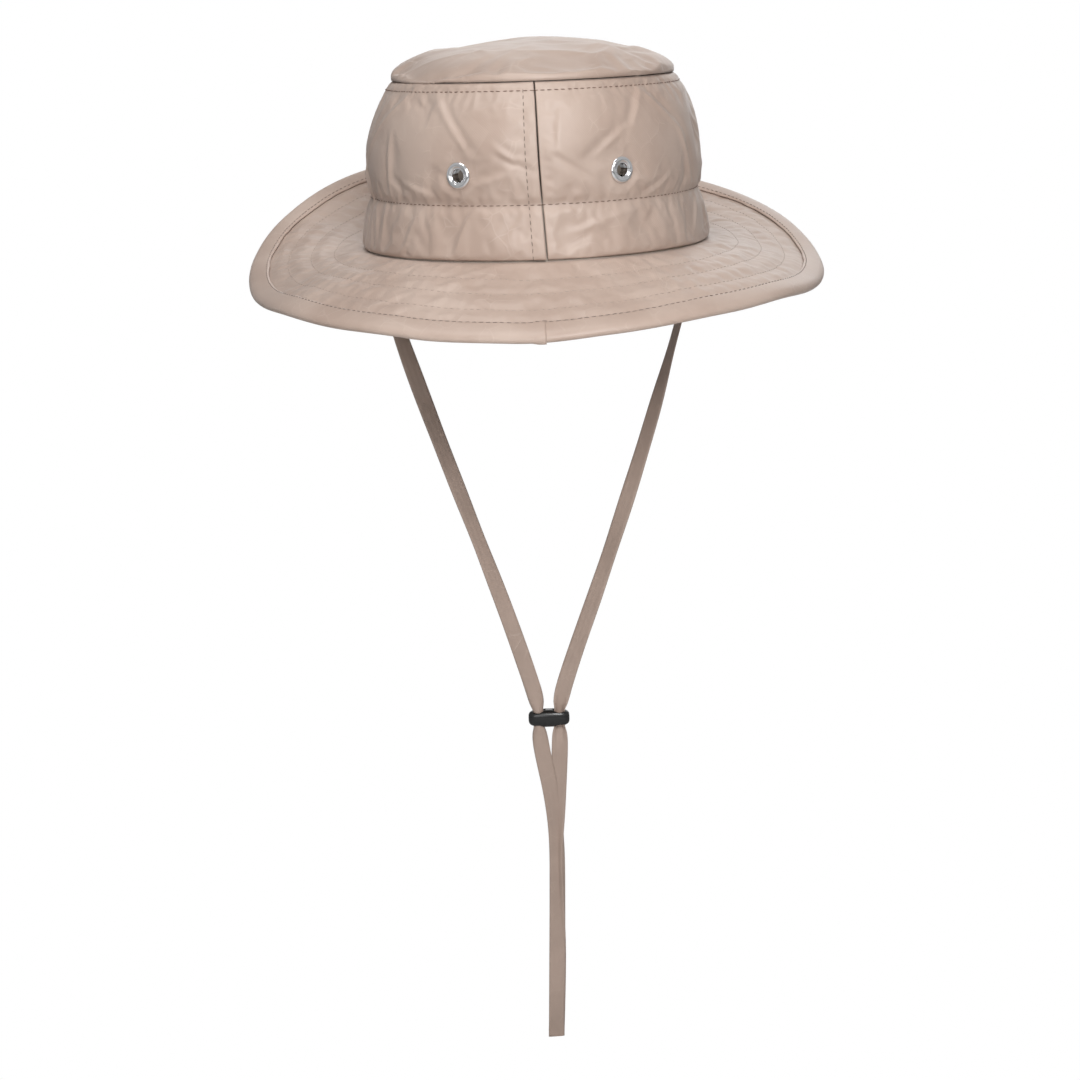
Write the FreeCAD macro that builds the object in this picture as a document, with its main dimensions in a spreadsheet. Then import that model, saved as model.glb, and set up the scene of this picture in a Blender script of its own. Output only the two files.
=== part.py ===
"""Boonie hat with a chin strap and a sliding toggle, millimetres, +Z up.

The origin is the centre of the head opening, level with the crown/brim seam.
The hat's lapped crown seam faces -Y, the wearer's left is at -X.
"""
import FreeCAD, Part
import math
import os
from FreeCAD import Placement, Rotation, Vector

SIZES = {
    # crown, measured to the outside of the cloth
    "crown_half": 87.0,
    "crown_lengthening": 20.0,
    "crown_height": 82.4,
    "cuff_draw": 1.6,
    "band_draw": 3.0,
    "eyelet_draw": 3.2,
    "bulge_draw": 4.4,
    "shoulder_draw": 8.8,
    "seam_draw": 16.2,
    "band_height": 26.0,
    "eyelet_above_band": 14.0,
    "bulge_share": 0.32953,
    "shoulder_share": 0.68323,
    "dome_rise": 19.0,
    # cloth layers
    "shell_thickness": 1.0,
    "lining_thickness": 0.6,
    "layer_gap": 0.15,
    "seam_gap": 0.2,
    "sweatband_thickness": 1.3,
    "tape_thickness": 1.2,
    "tape_height": 4.0,
    # brim
    "brim_width": 58.0,
    "brim_layer": 0.7,
    "brim_layer_gap": 0.1,
    "brim_tuck": 3.2,
    "binding_width": 9.0,
    "binding_thickness": 0.7,
    "binding_clearance": 0.15,
    "rim_right": -18.0,
    "rim_back_right": 11.0,
    "rim_back": 30.0,
    "rim_back_left": 25.0,
    "rim_left": -11.0,
    "rim_front_left": -24.0,
    "rim_front": -28.0,
    "rim_front_right": -19.5,
    # eyelets and washers
    "seam_turn": 2.1,
    "eyelet_angle": 27.2,
    "eyelet_bore": 3.0,
    "eyelet_wall": 0.4,
    "eyelet_flange": 6.3,
    "eyelet_crown": 0.9,
    "washer_flange": 6.0,
    "washer_thickness": 0.5,
    "flange_clearance": 0.057,
    "barrel_clearance": 0.2,
    # chin strap
    "strap_width": 8.5,
    "strap_thickness": 0.9,
    "strap_offset": 0.6,
    "fold_ratio": 0.5,
    "sewn_gap": 0.1,
    "anchor_side": 12.0,
    "anchor_thickness": 0.4,
    "anchor_clearance": 0.25,
    # toggle
    "toggle_length": 21.5,
    "toggle_height": 9.4,
    "toggle_depth": 8.6,
    "toggle_round": 2.6,
    "hole_clearance": 0.35,
    "toggle_pitch": 10.8,
    "toggle_x": -1.8,
    "toggle_z": -249.0,
    "neck_beyond": 2.3,
    # care label
    "label_width": 26.0,
    "label_below_shoulder": 7.4,
    "label_thickness": 0.5,
    "label_lift": 1.6,
    "label_clearance": 0.2,
}

# Strap route points (x, z), hand chosen, from the sewn end down to the cut end.
# The tape lies flat to the crown at the first two points and faces front from the third.
LEFT_ROUTE = [(-81.0, 9.0), (-80.2, -10.0), (-70.0, -48.0), (-52.3, -102.4), (-25.5, -180.0),
              (-12.4, -222.5), (-7.2, -242.0), (-7.2, -256.0), (-5.9, -268.0), (-1.6, -291.0),
              (0.3, -316.0), (-0.6, -348.0), (-2.0, -388.0), (-3.6, -427.0)]
RIGHT_ROUTE = [(81.0, 9.0), (80.2, -10.0), (69.0, -50.0), (52.2, -105.0), (29.5, -170.5),
               (11.0, -219.0), (3.6, -242.0), (3.6, -256.0), (3.3, -268.0), (1.6, -291.0),
               (-0.2, -318.0), (-0.9, -350.0), (-1.2, -387.0), (-3.5, -424.0)]
DRAWN_TOGGLE_Z = -249.0
TWIST_RUN = 1        # the tape turns to the front along this run
FOLD_IN_RUN = 5      # it folds to half width along this one
NECK_RUN = 6         # and passes the toggle folded
FOLD_OUT_RUN = 7     # then opens again
ARC_SHARE = 0.45
ARC_STEPS = 4
TWIST_STEPS = 6
RIM_POINTS = 72

doc = FreeCAD.newDocument("boonie_hat")
sheet = doc.addObject("Spreadsheet::Sheet", "Sizes")
for row, (alias, value) in enumerate(SIZES.items(), start=1):
    sheet.set(f"A{row}", alias)
    sheet.set(f"B{row}", str(value))
    sheet.setAlias(f"B{row}", alias)
doc.recompute()

NODES = []


def size(alias):
    """A driving dimension, read from the sheet."""
    return float(sheet.get(alias))


def keep(label, obj):
    """Mark a document object as a finished sub-part."""
    obj.Label = label
    NODES.append(obj)
    return obj


def add(kind, name, **links):
    """A document object with its linked properties set."""
    obj = doc.addObject(kind, name)
    for key, value in links.items():
        setattr(obj, key, value)
    return obj


def bind(obj, **expressions):
    """Bind properties to cells of the sheet: every bare alias is looked up in the sheet."""
    for key, expression in expressions.items():
        words = []
        for word in expression.split():
            words.append(f"Sizes.{word}" if word in SIZES else word)
        obj.setExpression(key.replace("__", "."), " ".join(words))


# ---------------------------------------------------------------- crown
SEAM_HALF = "crown_half - seam_draw"
EYELET_HEIGHT = "band_height + eyelet_above_band"
ABOVE_EYELETS = "( crown_height - band_height - eyelet_above_band )"
BULGE_HEIGHT = f"{EYELET_HEIGHT} + bulge_share * {ABOVE_EYELETS}"
SHOULDER_HEIGHT = f"{EYELET_HEIGHT} + shoulder_share * {ABOVE_EYELETS}"
WALL_SECTIONS = [
    ("crown_half", "layer_gap"),
    ("crown_half - cuff_draw", "band_height / 2"),
    ("crown_half - band_draw", "band_height"),
    ("crown_half - eyelet_draw", EYELET_HEIGHT),
    ("crown_half - bulge_draw", BULGE_HEIGHT),
    ("crown_half - shoulder_draw", SHOULDER_HEIGHT),
    (SEAM_HALF, "crown_height - layer_gap"),
]


def oval(name, half, height):
    """A horizontal oval, longer along Y, with its half width and height bound."""
    obj = doc.addObject("Part::Ellipse", name)
    obj.Placement = Placement(Vector(0, 0, 0), Rotation(Vector(0, 0, 1), 90))
    bind(obj, MajorRadius=f"{half} + crown_lengthening", MinorRadius=half,
         Placement__Base__z=height)
    return obj


def wall_loft(name, inset, sections):
    """A solid with the crown wall's outline, moved inwards by the inset expression."""
    ovals = []
    for index, (half, height) in enumerate(sections):
        ovals.append(oval(f"{name}_oval_{index}", f"{half} - ( {inset} )", height))
    return add("Part::Loft", name, Sections=ovals, Solid=True, Ruled=False)


def wall_shell(name, outer_inset, inner_inset, sections):
    """The wall between two insets."""
    outer = wall_loft(f"{name}_outer", outer_inset, sections)
    inner = wall_loft(f"{name}_inner", inner_inset, sections)
    return add("Part::Cut", name, Base=outer, Tool=inner)


def eyelet_frames():
    """Name, centre on the outer cloth and outward direction of each of the four eyelets."""
    half = size("crown_half") - size("eyelet_draw")
    length = half + size("crown_lengthening")
    height = size("band_height") + size("eyelet_above_band")
    frames = []
    for side, middle, sign in (("front_left", -90.0, -1), ("front_right", -90.0, 1),
                               ("back_right", 90.0, -1), ("back_left", 90.0, 1)):
        angle = math.radians(middle + size("seam_turn") + sign * size("eyelet_angle"))
        centre = Vector(half * math.cos(angle), length * math.sin(angle), height)
        out = Vector(math.cos(angle) / half, math.sin(angle) / length, 0).normalize()
        frames.append((side, centre, out))
    return frames


def facing(centre, out):
    """A placement at the centre with its own +Z along the outward direction."""
    return Placement(centre, Rotation(Vector(0, 0, 1), out))


def eyelet_holes():
    """Round cutters through the crown wall, one at each eyelet."""
    cutters = []
    for side, centre, out in eyelet_frames():
        cutter = doc.addObject("Part::Cylinder", f"hole_{side}")
        bind(cutter, Radius="eyelet_bore + eyelet_wall + barrel_clearance",
             Height="eyelet_flange * 2")
        cutter.Placement = facing(centre - out * size("eyelet_flange"), out)
        cutters.append(cutter)
    return add("Part::MultiFuse", "EyeletHoles", Shapes=cutters)


def half_box(name, sign):
    """A box over one side of the crown, half the seam gap away from the turned middle plane."""
    box = doc.addObject("Part::Box", name)
    bind(box, Length="crown_half * 2", Width="( crown_half + crown_lengthening ) * 3",
         Height="crown_height * 2")
    gap = size("seam_gap") / 2
    reach = size("crown_half") * 2
    length = (size("crown_half") + size("crown_lengthening")) * 3
    corner = Vector(gap if sign > 0 else -gap - reach, -length / 2, -size("crown_height") / 2)
    turn = Rotation(Vector(0, 0, 1), size("seam_turn"))
    box.Placement = Placement(turn.multVec(corner), turn)
    return box


def dome(name, half_inset, outer_label, thickness):
    """Half an ellipsoid shell above the top seam."""
    shells = []
    for part, inset in (("outer", half_inset), ("inner", f"{half_inset} + {thickness}")):
        solid = doc.addObject("Part::Ellipsoid", f"{name}_{part}")
        solid.Angle1 = 0
        bind(solid, Radius1=f"dome_rise - ( {inset} )", Radius2=f"{SEAM_HALF} - ( {inset} )",
             Radius3=f"{SEAM_HALF} + crown_lengthening - ( {inset} )",
             Placement__Base__z="crown_height")
        shells.append(solid)
    return keep(outer_label, add("Part::Cut", name, Base=shells[0], Tool=shells[1]))


def build_crown():
    """Top, two side panels, lining, top seam tape and sweatband."""
    holes = eyelet_holes()
    shell = wall_shell("WallShell", "0", "shell_thickness", WALL_SECTIONS)
    for label, sign in (("crown_side_left", -1), ("crown_side_right", 1)):
        panel = add("Part::Common", f"{label}_panel", Base=shell, Tool=half_box(f"{label}_box", sign))
        keep(label, add("Part::Cut", f"{label}_cut", Base=panel, Tool=holes))
    lining_inset = "shell_thickness + layer_gap"
    lining = wall_shell("Lining", lining_inset, f"{lining_inset} + lining_thickness", WALL_SECTIONS)
    keep("lining_side", add("Part::Cut", "Lining_cut", Base=lining, Tool=holes))
    dome("TopPanel", "0", "crown_top", "shell_thickness")
    dome("TopLining", lining_inset, "lining_top", "lining_thickness")
    inner = f"{lining_inset} + lining_thickness + layer_gap"
    tape_levels = ("crown_height - layer_gap - tape_height", "crown_height - layer_gap")
    tape_rings = []
    for part, extra in (("outer", "0"), ("inner", "tape_thickness")):
        ovals = [oval(f"tape_{part}_{index}", f"{SEAM_HALF} - ( {inner} + {extra} )", height)
                 for index, height in enumerate(tape_levels)]
        tape_rings.append(add("Part::Loft", f"SeamTape_{part}", Sections=ovals, Solid=True, Ruled=True))
    keep("top_seam_tape", add("Part::Cut", "SeamTape", Base=tape_rings[0], Tool=tape_rings[1]))
    ring = wall_shell("Band", inner, f"{inner} + sweatband_thickness", WALL_SECTIONS)
    slab = doc.addObject("Part::Box", "BandSlab")
    bind(slab, Length="crown_half * 4", Width="crown_half * 4", Height="band_height",
         Placement__Base__x="crown_half * -2", Placement__Base__y="crown_half * -2")
    keep("sweatband", add("Part::Common", "Sweatband", Base=ring, Tool=slab))


# ---------------------------------------------------------------- brim
RIM_HEIGHTS = ("rim_right", "rim_back_right", "rim_back", "rim_back_left",
               "rim_left", "rim_front_left", "rim_front", "rim_front_right")


def rim_height(angle):
    """Height of the rim: the smooth periodic curve through the eight named heights."""
    heights = [size(alias) for alias in RIM_HEIGHTS]
    count = len(heights)
    total = sum(heights) / count
    for order in range(1, count // 2 + 1):
        share = 1 if order == count // 2 else 2
        for index, height in enumerate(heights):
            step = angle - index * 2 * math.pi / count
            total += share * height * math.cos(order * step) / count
    return total


def brim_point(angle, across, lift):
    """A point of the brim: across is the distance outwards from the crown seam, along the cloth."""
    half = size("crown_half")
    length = half + size("crown_lengthening")
    seam = Vector(half * math.cos(angle), length * math.sin(angle), 0)
    out = Vector(math.cos(angle) / half, math.sin(angle) / length, 0).normalize()
    if across <= 0:
        return seam + out * across + Vector(0, 0, lift)
    width = size("brim_width")
    drop = rim_height(angle)
    reach = math.sqrt(width * width - drop * drop)
    return seam + (out * reach + Vector(0, 0, drop)) * (across / width) + Vector(0, 0, lift)


def brim_ring(name, label, profile):
    """A closed ring whose cross-section is the profile, a list of (across, lift) corners."""
    turns = [2 * math.pi * index / RIM_POINTS for index in range(RIM_POINTS)]
    edges = []
    for across, lift in profile:
        curve = Part.BSplineCurve()
        curve.interpolate(Points=[brim_point(turn, across, lift) for turn in turns],
                          PeriodicFlag=True, Parameters=turns + [2 * math.pi])
        edges.append(curve.toShape())
    faces = [Part.makeRuledSurface(edge, following)
             for edge, following in zip(edges, edges[1:] + edges[:1])]
    solid = Part.Solid(Part.makeShell(faces))
    if solid.Volume < 0:
        solid.reverse()
    obj = doc.addObject("Part::Feature", name)
    obj.Shape = solid
    obj.Placement = Placement()
    return keep(label, obj)


def build_brim():
    """Three stitched layers and the folded binding round their edge."""
    tuck, width, layer = size("brim_tuck"), size("brim_width"), size("brim_layer")
    pitch = layer + size("brim_layer_gap")
    for index, label in enumerate(("brim_top", "brim_interlining", "brim_underside")):
        top = -index * pitch
        brim_ring(f"Brim_{index}", label, [(-tuck, top), (0, top), (width, top),
                                           (width, top - layer), (0, top - layer), (-tuck, top - layer)])
    clear, thick = size("binding_clearance"), size("binding_thickness")
    stack = 2 * pitch + layer
    edge, fold = width + clear, width - size("binding_width")
    brim_ring("Binding", "brim_binding",
              [(fold, clear), (fold, clear + thick), (edge + thick, clear + thick),
               (edge + thick, -stack - clear - thick), (fold, -stack - clear - thick),
               (fold, -stack - clear), (edge, -stack - clear), (edge, clear)])


# ---------------------------------------------------------------- eyelets
def revolved(label, outline, placement):
    """A PartDesign body turned from an outline of (radius, height) corners about its own Z axis."""
    body = doc.addObject("PartDesign::Body", f"{label}_body")
    sketch = body.newObject("Sketcher::SketchObject", f"{label}_outline")
    plane = [item for item in body.Origin.OriginFeatures if item.Role == "XZ_Plane"][0]
    sketch.AttachmentSupport = [(plane, "")]
    sketch.MapMode = "FlatFace"
    corners = [Vector(radius, height, 0) for radius, height in outline]
    for start, end in zip(corners, corners[1:] + corners[:1]):
        sketch.addGeometry(Part.LineSegment(start, end), False)
    turn = body.newObject("PartDesign::Revolution", f"{label}_turn")
    turn.Profile = sketch
    turn.ReferenceAxis = (sketch, ["V_Axis"])
    turn.Angle = 360
    body.Tip = turn
    body.Placement = placement
    return keep(label, body)


def wall_fall(rise):
    """How far the wall draws in from an eyelet's centre to this far above it."""
    above = size("crown_height") - size("band_height") - size("eyelet_above_band")
    up, down = size("bulge_share") * above, size("eyelet_above_band")
    upper = (size("bulge_draw") - size("eyelet_draw")) / up
    lower = (size("eyelet_draw") - size("band_draw")) / down
    curve = (upper - lower) / (up + down)
    return rise * (lower + curve * (down + rise))


def build_eyelets():
    """A flanged barrel from outside and a washer that it is set against, four times."""
    bore, flange = size("eyelet_bore"), size("eyelet_flange")
    barrel = bore + size("eyelet_wall")
    lift = size("flange_clearance") + wall_fall(size("washer_flange"))
    crown = size("eyelet_crown")
    stack = size("shell_thickness") + size("layer_gap") + size("lining_thickness")
    inside = -stack - lift
    washer = size("washer_thickness")
    depth = inside - washer - crown
    for side, centre, out in eyelet_frames():
        where = facing(centre, out)
        revolved(f"eyelet_{side}",
                 [(bore, depth), (barrel, depth), (barrel, lift), (flange, lift),
                  (flange - crown / 2, lift + crown), (bore + crown, lift + crown),
                  (bore, lift + crown / 2)], where)
        hole = barrel + size("layer_gap")
        revolved(f"washer_{side}",
                 [(hole, inside - washer), (size("washer_flange"), inside - washer),
                  (size("washer_flange"), inside), (hole, inside)], where)


# ---------------------------------------------------------------- chin strap
def strap_stations(route):
    """Points along the route with the runs joined by tangent arcs, and the arcs' radii.

    Each station is (point, direction, index of the run that it lies on).
    """
    points = [Vector(across, 0, height) for across, height in route]
    runs = [end - start for start, end in zip(points, points[1:])]
    stations = [(points[0], Vector(runs[0]).normalize(), 0)]
    radii = []
    for index in range(1, len(points) - 1):
        before, after = runs[index - 1], runs[index]
        turn = before.getAngle(after)
        tangent = ARC_SHARE * min(before.Length, after.Length)
        radii.append(tangent / math.tan(turn / 2))
        start = points[index] - Vector(before).normalize() * tangent
        end = points[index] + Vector(after).normalize() * tangent
        arc = Part.Arc(start, bend_middle(start, points[index], end, radii[-1]), end)
        for step in range(ARC_STEPS + 1):
            value = arc.FirstParameter + (arc.LastParameter - arc.FirstParameter) * step / ARC_STEPS
            run = index - 1 if step < ARC_STEPS / 2 else index
            stations.append((arc.value(value), Vector(arc.tangent(value)[0]), run))
    stations.append((points[-1], Vector(runs[-1]).normalize(), len(runs) - 1))
    return stations, radii


def bend_middle(start, corner, end, radius):
    """The middle of the arc that touches both runs."""
    chord = (start + end) / 2
    half = (end - start).Length / 2
    sagitta = radius - math.sqrt(radius * radius - half * half)
    return chord + Vector(corner - chord).normalize() * sagitta


def tape_section(point, direction, turn, width, thickness, offset):
    """A rectangle across the tape; turn 0 lies flat to the crown, turn 1 faces the front."""
    angle = turn * math.pi / 2
    normal = Vector(0, 1, 0).cross(direction).normalize()
    wide = Vector(0, 1, 0) * math.cos(angle) + normal * math.sin(angle)
    thin = direction.cross(wide).normalize()
    centre = point + Vector(0, offset, 0)
    corners = [centre + wide * (width * across / 2) + thin * (thickness * up / 2)
               for across, up in ((-1, -1), (1, -1), (1, 1), (-1, 1))]
    return Part.makePolygon(corners + corners[:1])


def split_run(stations, run, pieces):
    """The stations with extra ones along the straight stretch of one run."""
    result = []
    for station, following in zip(stations, stations[1:]):
        result.append(station)
        if station[2] == run and following[2] == run and station[1].getAngle(following[1]) < 1e-6:
            gap = following[0] - station[0]
            result += [(station[0] + gap * (step / pieces), station[1], run)
                       for step in range(1, pieces)]
    return result + [stations[-1]]


def strap(label, route, offset):
    """One tape: flat to the crown, turned to the front, folded through the toggle, open again."""
    stations, radii = strap_stations(route)
    for run in (TWIST_RUN, FOLD_IN_RUN, FOLD_OUT_RUN):
        stations = split_run(stations, run, TWIST_STEPS)
    twist_from, twist_to = route[TWIST_RUN][1], route[TWIST_RUN + 1][1]
    neck_from, neck_to = route[NECK_RUN][1], route[NECK_RUN + 1][1]
    fold_from, fold_to = route[FOLD_IN_RUN][1], route[FOLD_OUT_RUN + 1][1]
    width, thickness = size("strap_width"), size("strap_thickness")
    sections = []
    length = 0
    previous = stations[0][0]
    for point, direction, _ in stations:
        turn = min(max((twist_from - point.z) / (twist_from - twist_to), 0), 1)
        entering = min(max((fold_from - point.z) / (fold_from - neck_from), 0), 1)
        leaving = min(max((neck_to - point.z) / (neck_to - fold_to), 0), 1)
        folded = entering - leaving
        across = width * (1 - folded * (1 - size("fold_ratio")))
        deep = thickness * width / across
        sections.append(tape_section(point, direction, turn, across, deep, offset))
        length += (point - previous).Length
        previous = point
    obj = doc.addObject("Part::Feature", label.title().replace("_", ""))
    obj.Shape = Part.makeLoft(sections, True, True)
    obj.Placement = Placement()
    print(label, "length", round(length, 1), "radii", [round(radius) for radius in radii],
          "volume ratio", round(obj.Shape.Volume / (length * width * thickness), 3))
    return keep(label, obj)


def band_face():
    """Half width between the sweatband's inner faces, at the middle of its height."""
    return (size("crown_half") - size("cuff_draw") - size("shell_thickness") - size("lining_thickness")
            - 2 * size("layer_gap") - size("sweatband_thickness"))


def anchor_patch(label, sign):
    """The patch on the sweatband that the tape's end is sewn to."""
    thick, side = size("anchor_thickness"), size("anchor_side")
    patch = doc.addObject("Part::Box", label.title().replace("_", ""))
    bind(patch, Length="anchor_thickness", Width="anchor_side", Height="anchor_side")
    outer = band_face() - size("anchor_clearance")
    start = -outer if sign < 0 else outer - thick
    patch.Placement = Placement(Vector(start, -side / 2, size("layer_gap")), Rotation())
    return keep(label, patch)


def strap_route(drawn, sign):
    """The drawn route, with its sewn end set to the band and its neck to the toggle."""
    sewn = sign * (band_face() - size("anchor_clearance") - size("anchor_thickness")
                   - size("sewn_gap") - size("strap_thickness") / 2)
    stretch = size("toggle_z") / DRAWN_TOGGLE_Z
    neck = size("toggle_x") + sign * size("toggle_pitch") / 2
    beyond = size("toggle_height") / 2 + size("neck_beyond")
    route = []
    for index, (across, height) in enumerate(drawn):
        if index <= TWIST_RUN:
            route.append((sewn + across - drawn[0][0], height))
        elif index == NECK_RUN:
            route.append((neck, size("toggle_z") + beyond))
        elif index == NECK_RUN + 1:
            route.append((neck, size("toggle_z") - beyond))
        else:
            route.append((across, height * stretch))
    return route


def build_toggle():
    """A rounded bean with two through holes side by side."""
    body = doc.addObject("PartDesign::Body", "Toggle")
    planes = {item.Role: item for item in body.Origin.OriginFeatures}
    outline = body.newObject("Sketcher::SketchObject", "ToggleOutline")
    outline.AttachmentSupport = [(planes["XZ_Plane"], "")]
    outline.MapMode = "FlatFace"
    half = size("toggle_height") / 2
    reach = size("toggle_length") / 2 - half
    outline.addGeometry(Part.LineSegment(Vector(-reach, half, 0), Vector(reach, half, 0)), False)
    outline.addGeometry(Part.LineSegment(Vector(-reach, -half, 0), Vector(reach, -half, 0)), False)
    for side in (-1, 1):
        circle = Part.Circle(Vector(side * reach, 0, 0), Vector(0, 0, 1), half)
        first = -math.pi / 2 if side > 0 else math.pi / 2
        outline.addGeometry(Part.ArcOfCircle(circle, first, first + math.pi), False)
    pad = body.newObject("PartDesign::Pad", "ToggleBlock")
    pad.Profile = outline
    pad.Midplane = True
    bind(pad, Length="toggle_depth")
    doc.recompute()
    rounded = body.newObject("PartDesign::Fillet", "ToggleRounding")
    rounded.Base = (pad, ["Face5", "Face6"])
    bind(rounded, Radius="toggle_round")
    body.Tip = rounded
    doc.recompute()
    solid_volume = rounded.Shape.Volume
    drill = body.newObject("Sketcher::SketchObject", "ToggleHoles")
    drill.AttachmentSupport = [(planes["XY_Plane"], "")]
    drill.MapMode = "FlatFace"
    fold_half = size("strap_width") * size("fold_ratio") / 2
    fold_deep = size("strap_offset") + size("strap_thickness") / size("fold_ratio") / 2
    radius = math.hypot(fold_half, fold_deep) + size("hole_clearance")
    for side in (-1, 1):
        centre = Vector(side * size("toggle_pitch") / 2, 0, 0)
        drill.addGeometry(Part.Circle(centre, Vector(0, 0, 1), radius), False)
    pocket = body.newObject("PartDesign::Pocket", "ToggleDrill")
    pocket.Profile = drill
    pocket.Midplane = True
    pocket.Type = 1
    body.Tip = pocket
    doc.recompute()
    print("toggle volume", round(solid_volume), "->", round(pocket.Shape.Volume))
    body.Placement = Placement(Vector(size("toggle_x"), 0, size("toggle_z")), Rotation())
    keep("strap_toggle", body)


def build_label():
    """The blank care label, standing off the lining at the back."""
    label = doc.addObject("Part::Box", "CareLabel")
    bind(label, Length="label_width", Width="label_thickness",
         Height=f"{SHOULDER_HEIGHT} - label_below_shoulder - band_height - label_lift",
         Placement__Base__x="label_width / -2",
         Placement__Base__y="crown_half - shoulder_draw + crown_lengthening - shell_thickness"
                            " - layer_gap - lining_thickness - label_clearance - label_thickness",
         Placement__Base__z="band_height + label_lift")
    keep("care_label", label)


def check_and_write():
    """Stop on any failed object or bad shape, then write one file per sub-part."""
    for obj in doc.Objects:
        if "Invalid" in obj.State or "Error" in obj.State:
            raise RuntimeError(f"{obj.Name} did not compute: {obj.State}")
    for obj in NODES:
        shape = obj.Shape
        if shape.isNull() or not shape.isValid() or len(shape.Solids) != 1:
            raise RuntimeError(f"{obj.Label} is not one valid solid")
    os.makedirs("parts", exist_ok=True)
    for obj in NODES:
        obj.Shape.exportStep(f"parts/{obj.Label}.step")
        print(f"{obj.Label:22s} {obj.Shape.Volume:10.0f} mm3")


build_crown()
build_brim()
build_eyelets()
strap("chin_strap_left", strap_route(LEFT_ROUTE, -1), -size("strap_offset"))
strap("chin_strap_right", strap_route(RIGHT_ROUTE, 1), size("strap_offset"))
anchor_patch("strap_anchor_left", -1)
anchor_patch("strap_anchor_right", 1)
build_toggle()
build_label()
doc.recompute()
check_and_write()
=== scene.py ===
import math
import bmesh
import bpy
import numpy as np
from bpy.props import FloatProperty, FloatVectorProperty, PointerProperty
from mathutils import Matrix, Vector, noise


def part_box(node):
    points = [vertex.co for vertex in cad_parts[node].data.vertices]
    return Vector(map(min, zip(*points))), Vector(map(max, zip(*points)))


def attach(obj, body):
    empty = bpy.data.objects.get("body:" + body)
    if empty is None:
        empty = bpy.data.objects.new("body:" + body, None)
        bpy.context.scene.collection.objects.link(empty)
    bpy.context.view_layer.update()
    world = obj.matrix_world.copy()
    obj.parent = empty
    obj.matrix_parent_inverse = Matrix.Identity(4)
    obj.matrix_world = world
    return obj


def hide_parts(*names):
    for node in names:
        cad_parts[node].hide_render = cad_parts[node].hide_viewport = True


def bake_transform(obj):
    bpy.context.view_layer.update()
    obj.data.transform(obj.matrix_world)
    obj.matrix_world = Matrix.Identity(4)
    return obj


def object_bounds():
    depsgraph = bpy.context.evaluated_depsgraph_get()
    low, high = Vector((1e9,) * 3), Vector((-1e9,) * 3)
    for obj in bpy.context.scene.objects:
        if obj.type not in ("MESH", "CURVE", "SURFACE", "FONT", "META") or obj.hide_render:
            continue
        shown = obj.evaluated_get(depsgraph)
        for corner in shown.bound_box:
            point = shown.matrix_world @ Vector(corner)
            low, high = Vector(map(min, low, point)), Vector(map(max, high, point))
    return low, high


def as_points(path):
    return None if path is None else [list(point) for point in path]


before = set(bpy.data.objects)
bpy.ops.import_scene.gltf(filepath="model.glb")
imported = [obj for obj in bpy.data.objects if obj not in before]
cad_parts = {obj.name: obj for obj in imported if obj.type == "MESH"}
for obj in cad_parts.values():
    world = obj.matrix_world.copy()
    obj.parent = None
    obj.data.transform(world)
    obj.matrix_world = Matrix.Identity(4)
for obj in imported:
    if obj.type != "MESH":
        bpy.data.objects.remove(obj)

bl_info = {
    "name": "Boonie Hat",
    "version": (1, 0, 0),
    "blender": (4, 5, 0),
    "location": "View3D > Sidebar > Hat",
    "description": "Builds a crinkled nylon boonie hat with a chin strap round its CAD frame",
    "category": "Object",
}

CAD_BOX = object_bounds()
MM = 0.001
TOP_LOW, TOP_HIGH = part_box("crown_top")
SIDE_LOW, SIDE_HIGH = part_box("crown_side_right")

# Route points of the two tapes, the same as the CAD model's, in metres (x, z).
LEFT_ROUTE = [(-0.0810, 0.0090), (-0.0802, -0.0100), (-0.0700, -0.0480), (-0.0523, -0.1024),
              (-0.0255, -0.1800), (-0.0124, -0.2225), (-0.0072, -0.2420), (-0.0072, -0.2560),
              (-0.0059, -0.2680), (-0.0016, -0.2910), (0.0003, -0.3160), (-0.0006, -0.3480),
              (-0.0020, -0.3880), (-0.0036, -0.4270)]
RIGHT_ROUTE = [(0.0810, 0.0090), (0.0802, -0.0100), (0.0690, -0.0500), (0.0522, -0.1050),
               (0.0295, -0.1705), (0.0110, -0.2190), (0.0036, -0.2420), (0.0036, -0.2560),
               (0.0033, -0.2680), (0.0016, -0.2910), (-0.0002, -0.3180), (-0.0009, -0.3500),
               (-0.0012, -0.3870), (-0.0035, -0.4240)]


def length_property(name, description, default):
    """A length shown in the sidebar."""
    return FloatProperty(name=name, description=description, default=default,
                         unit="LENGTH", precision=4)


def colour_property(name, description, default):
    """A linear colour shown in the sidebar."""
    return FloatVectorProperty(name=name, description=description, default=default,
                               subtype="COLOR", size=3, min=0, max=1)


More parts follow.
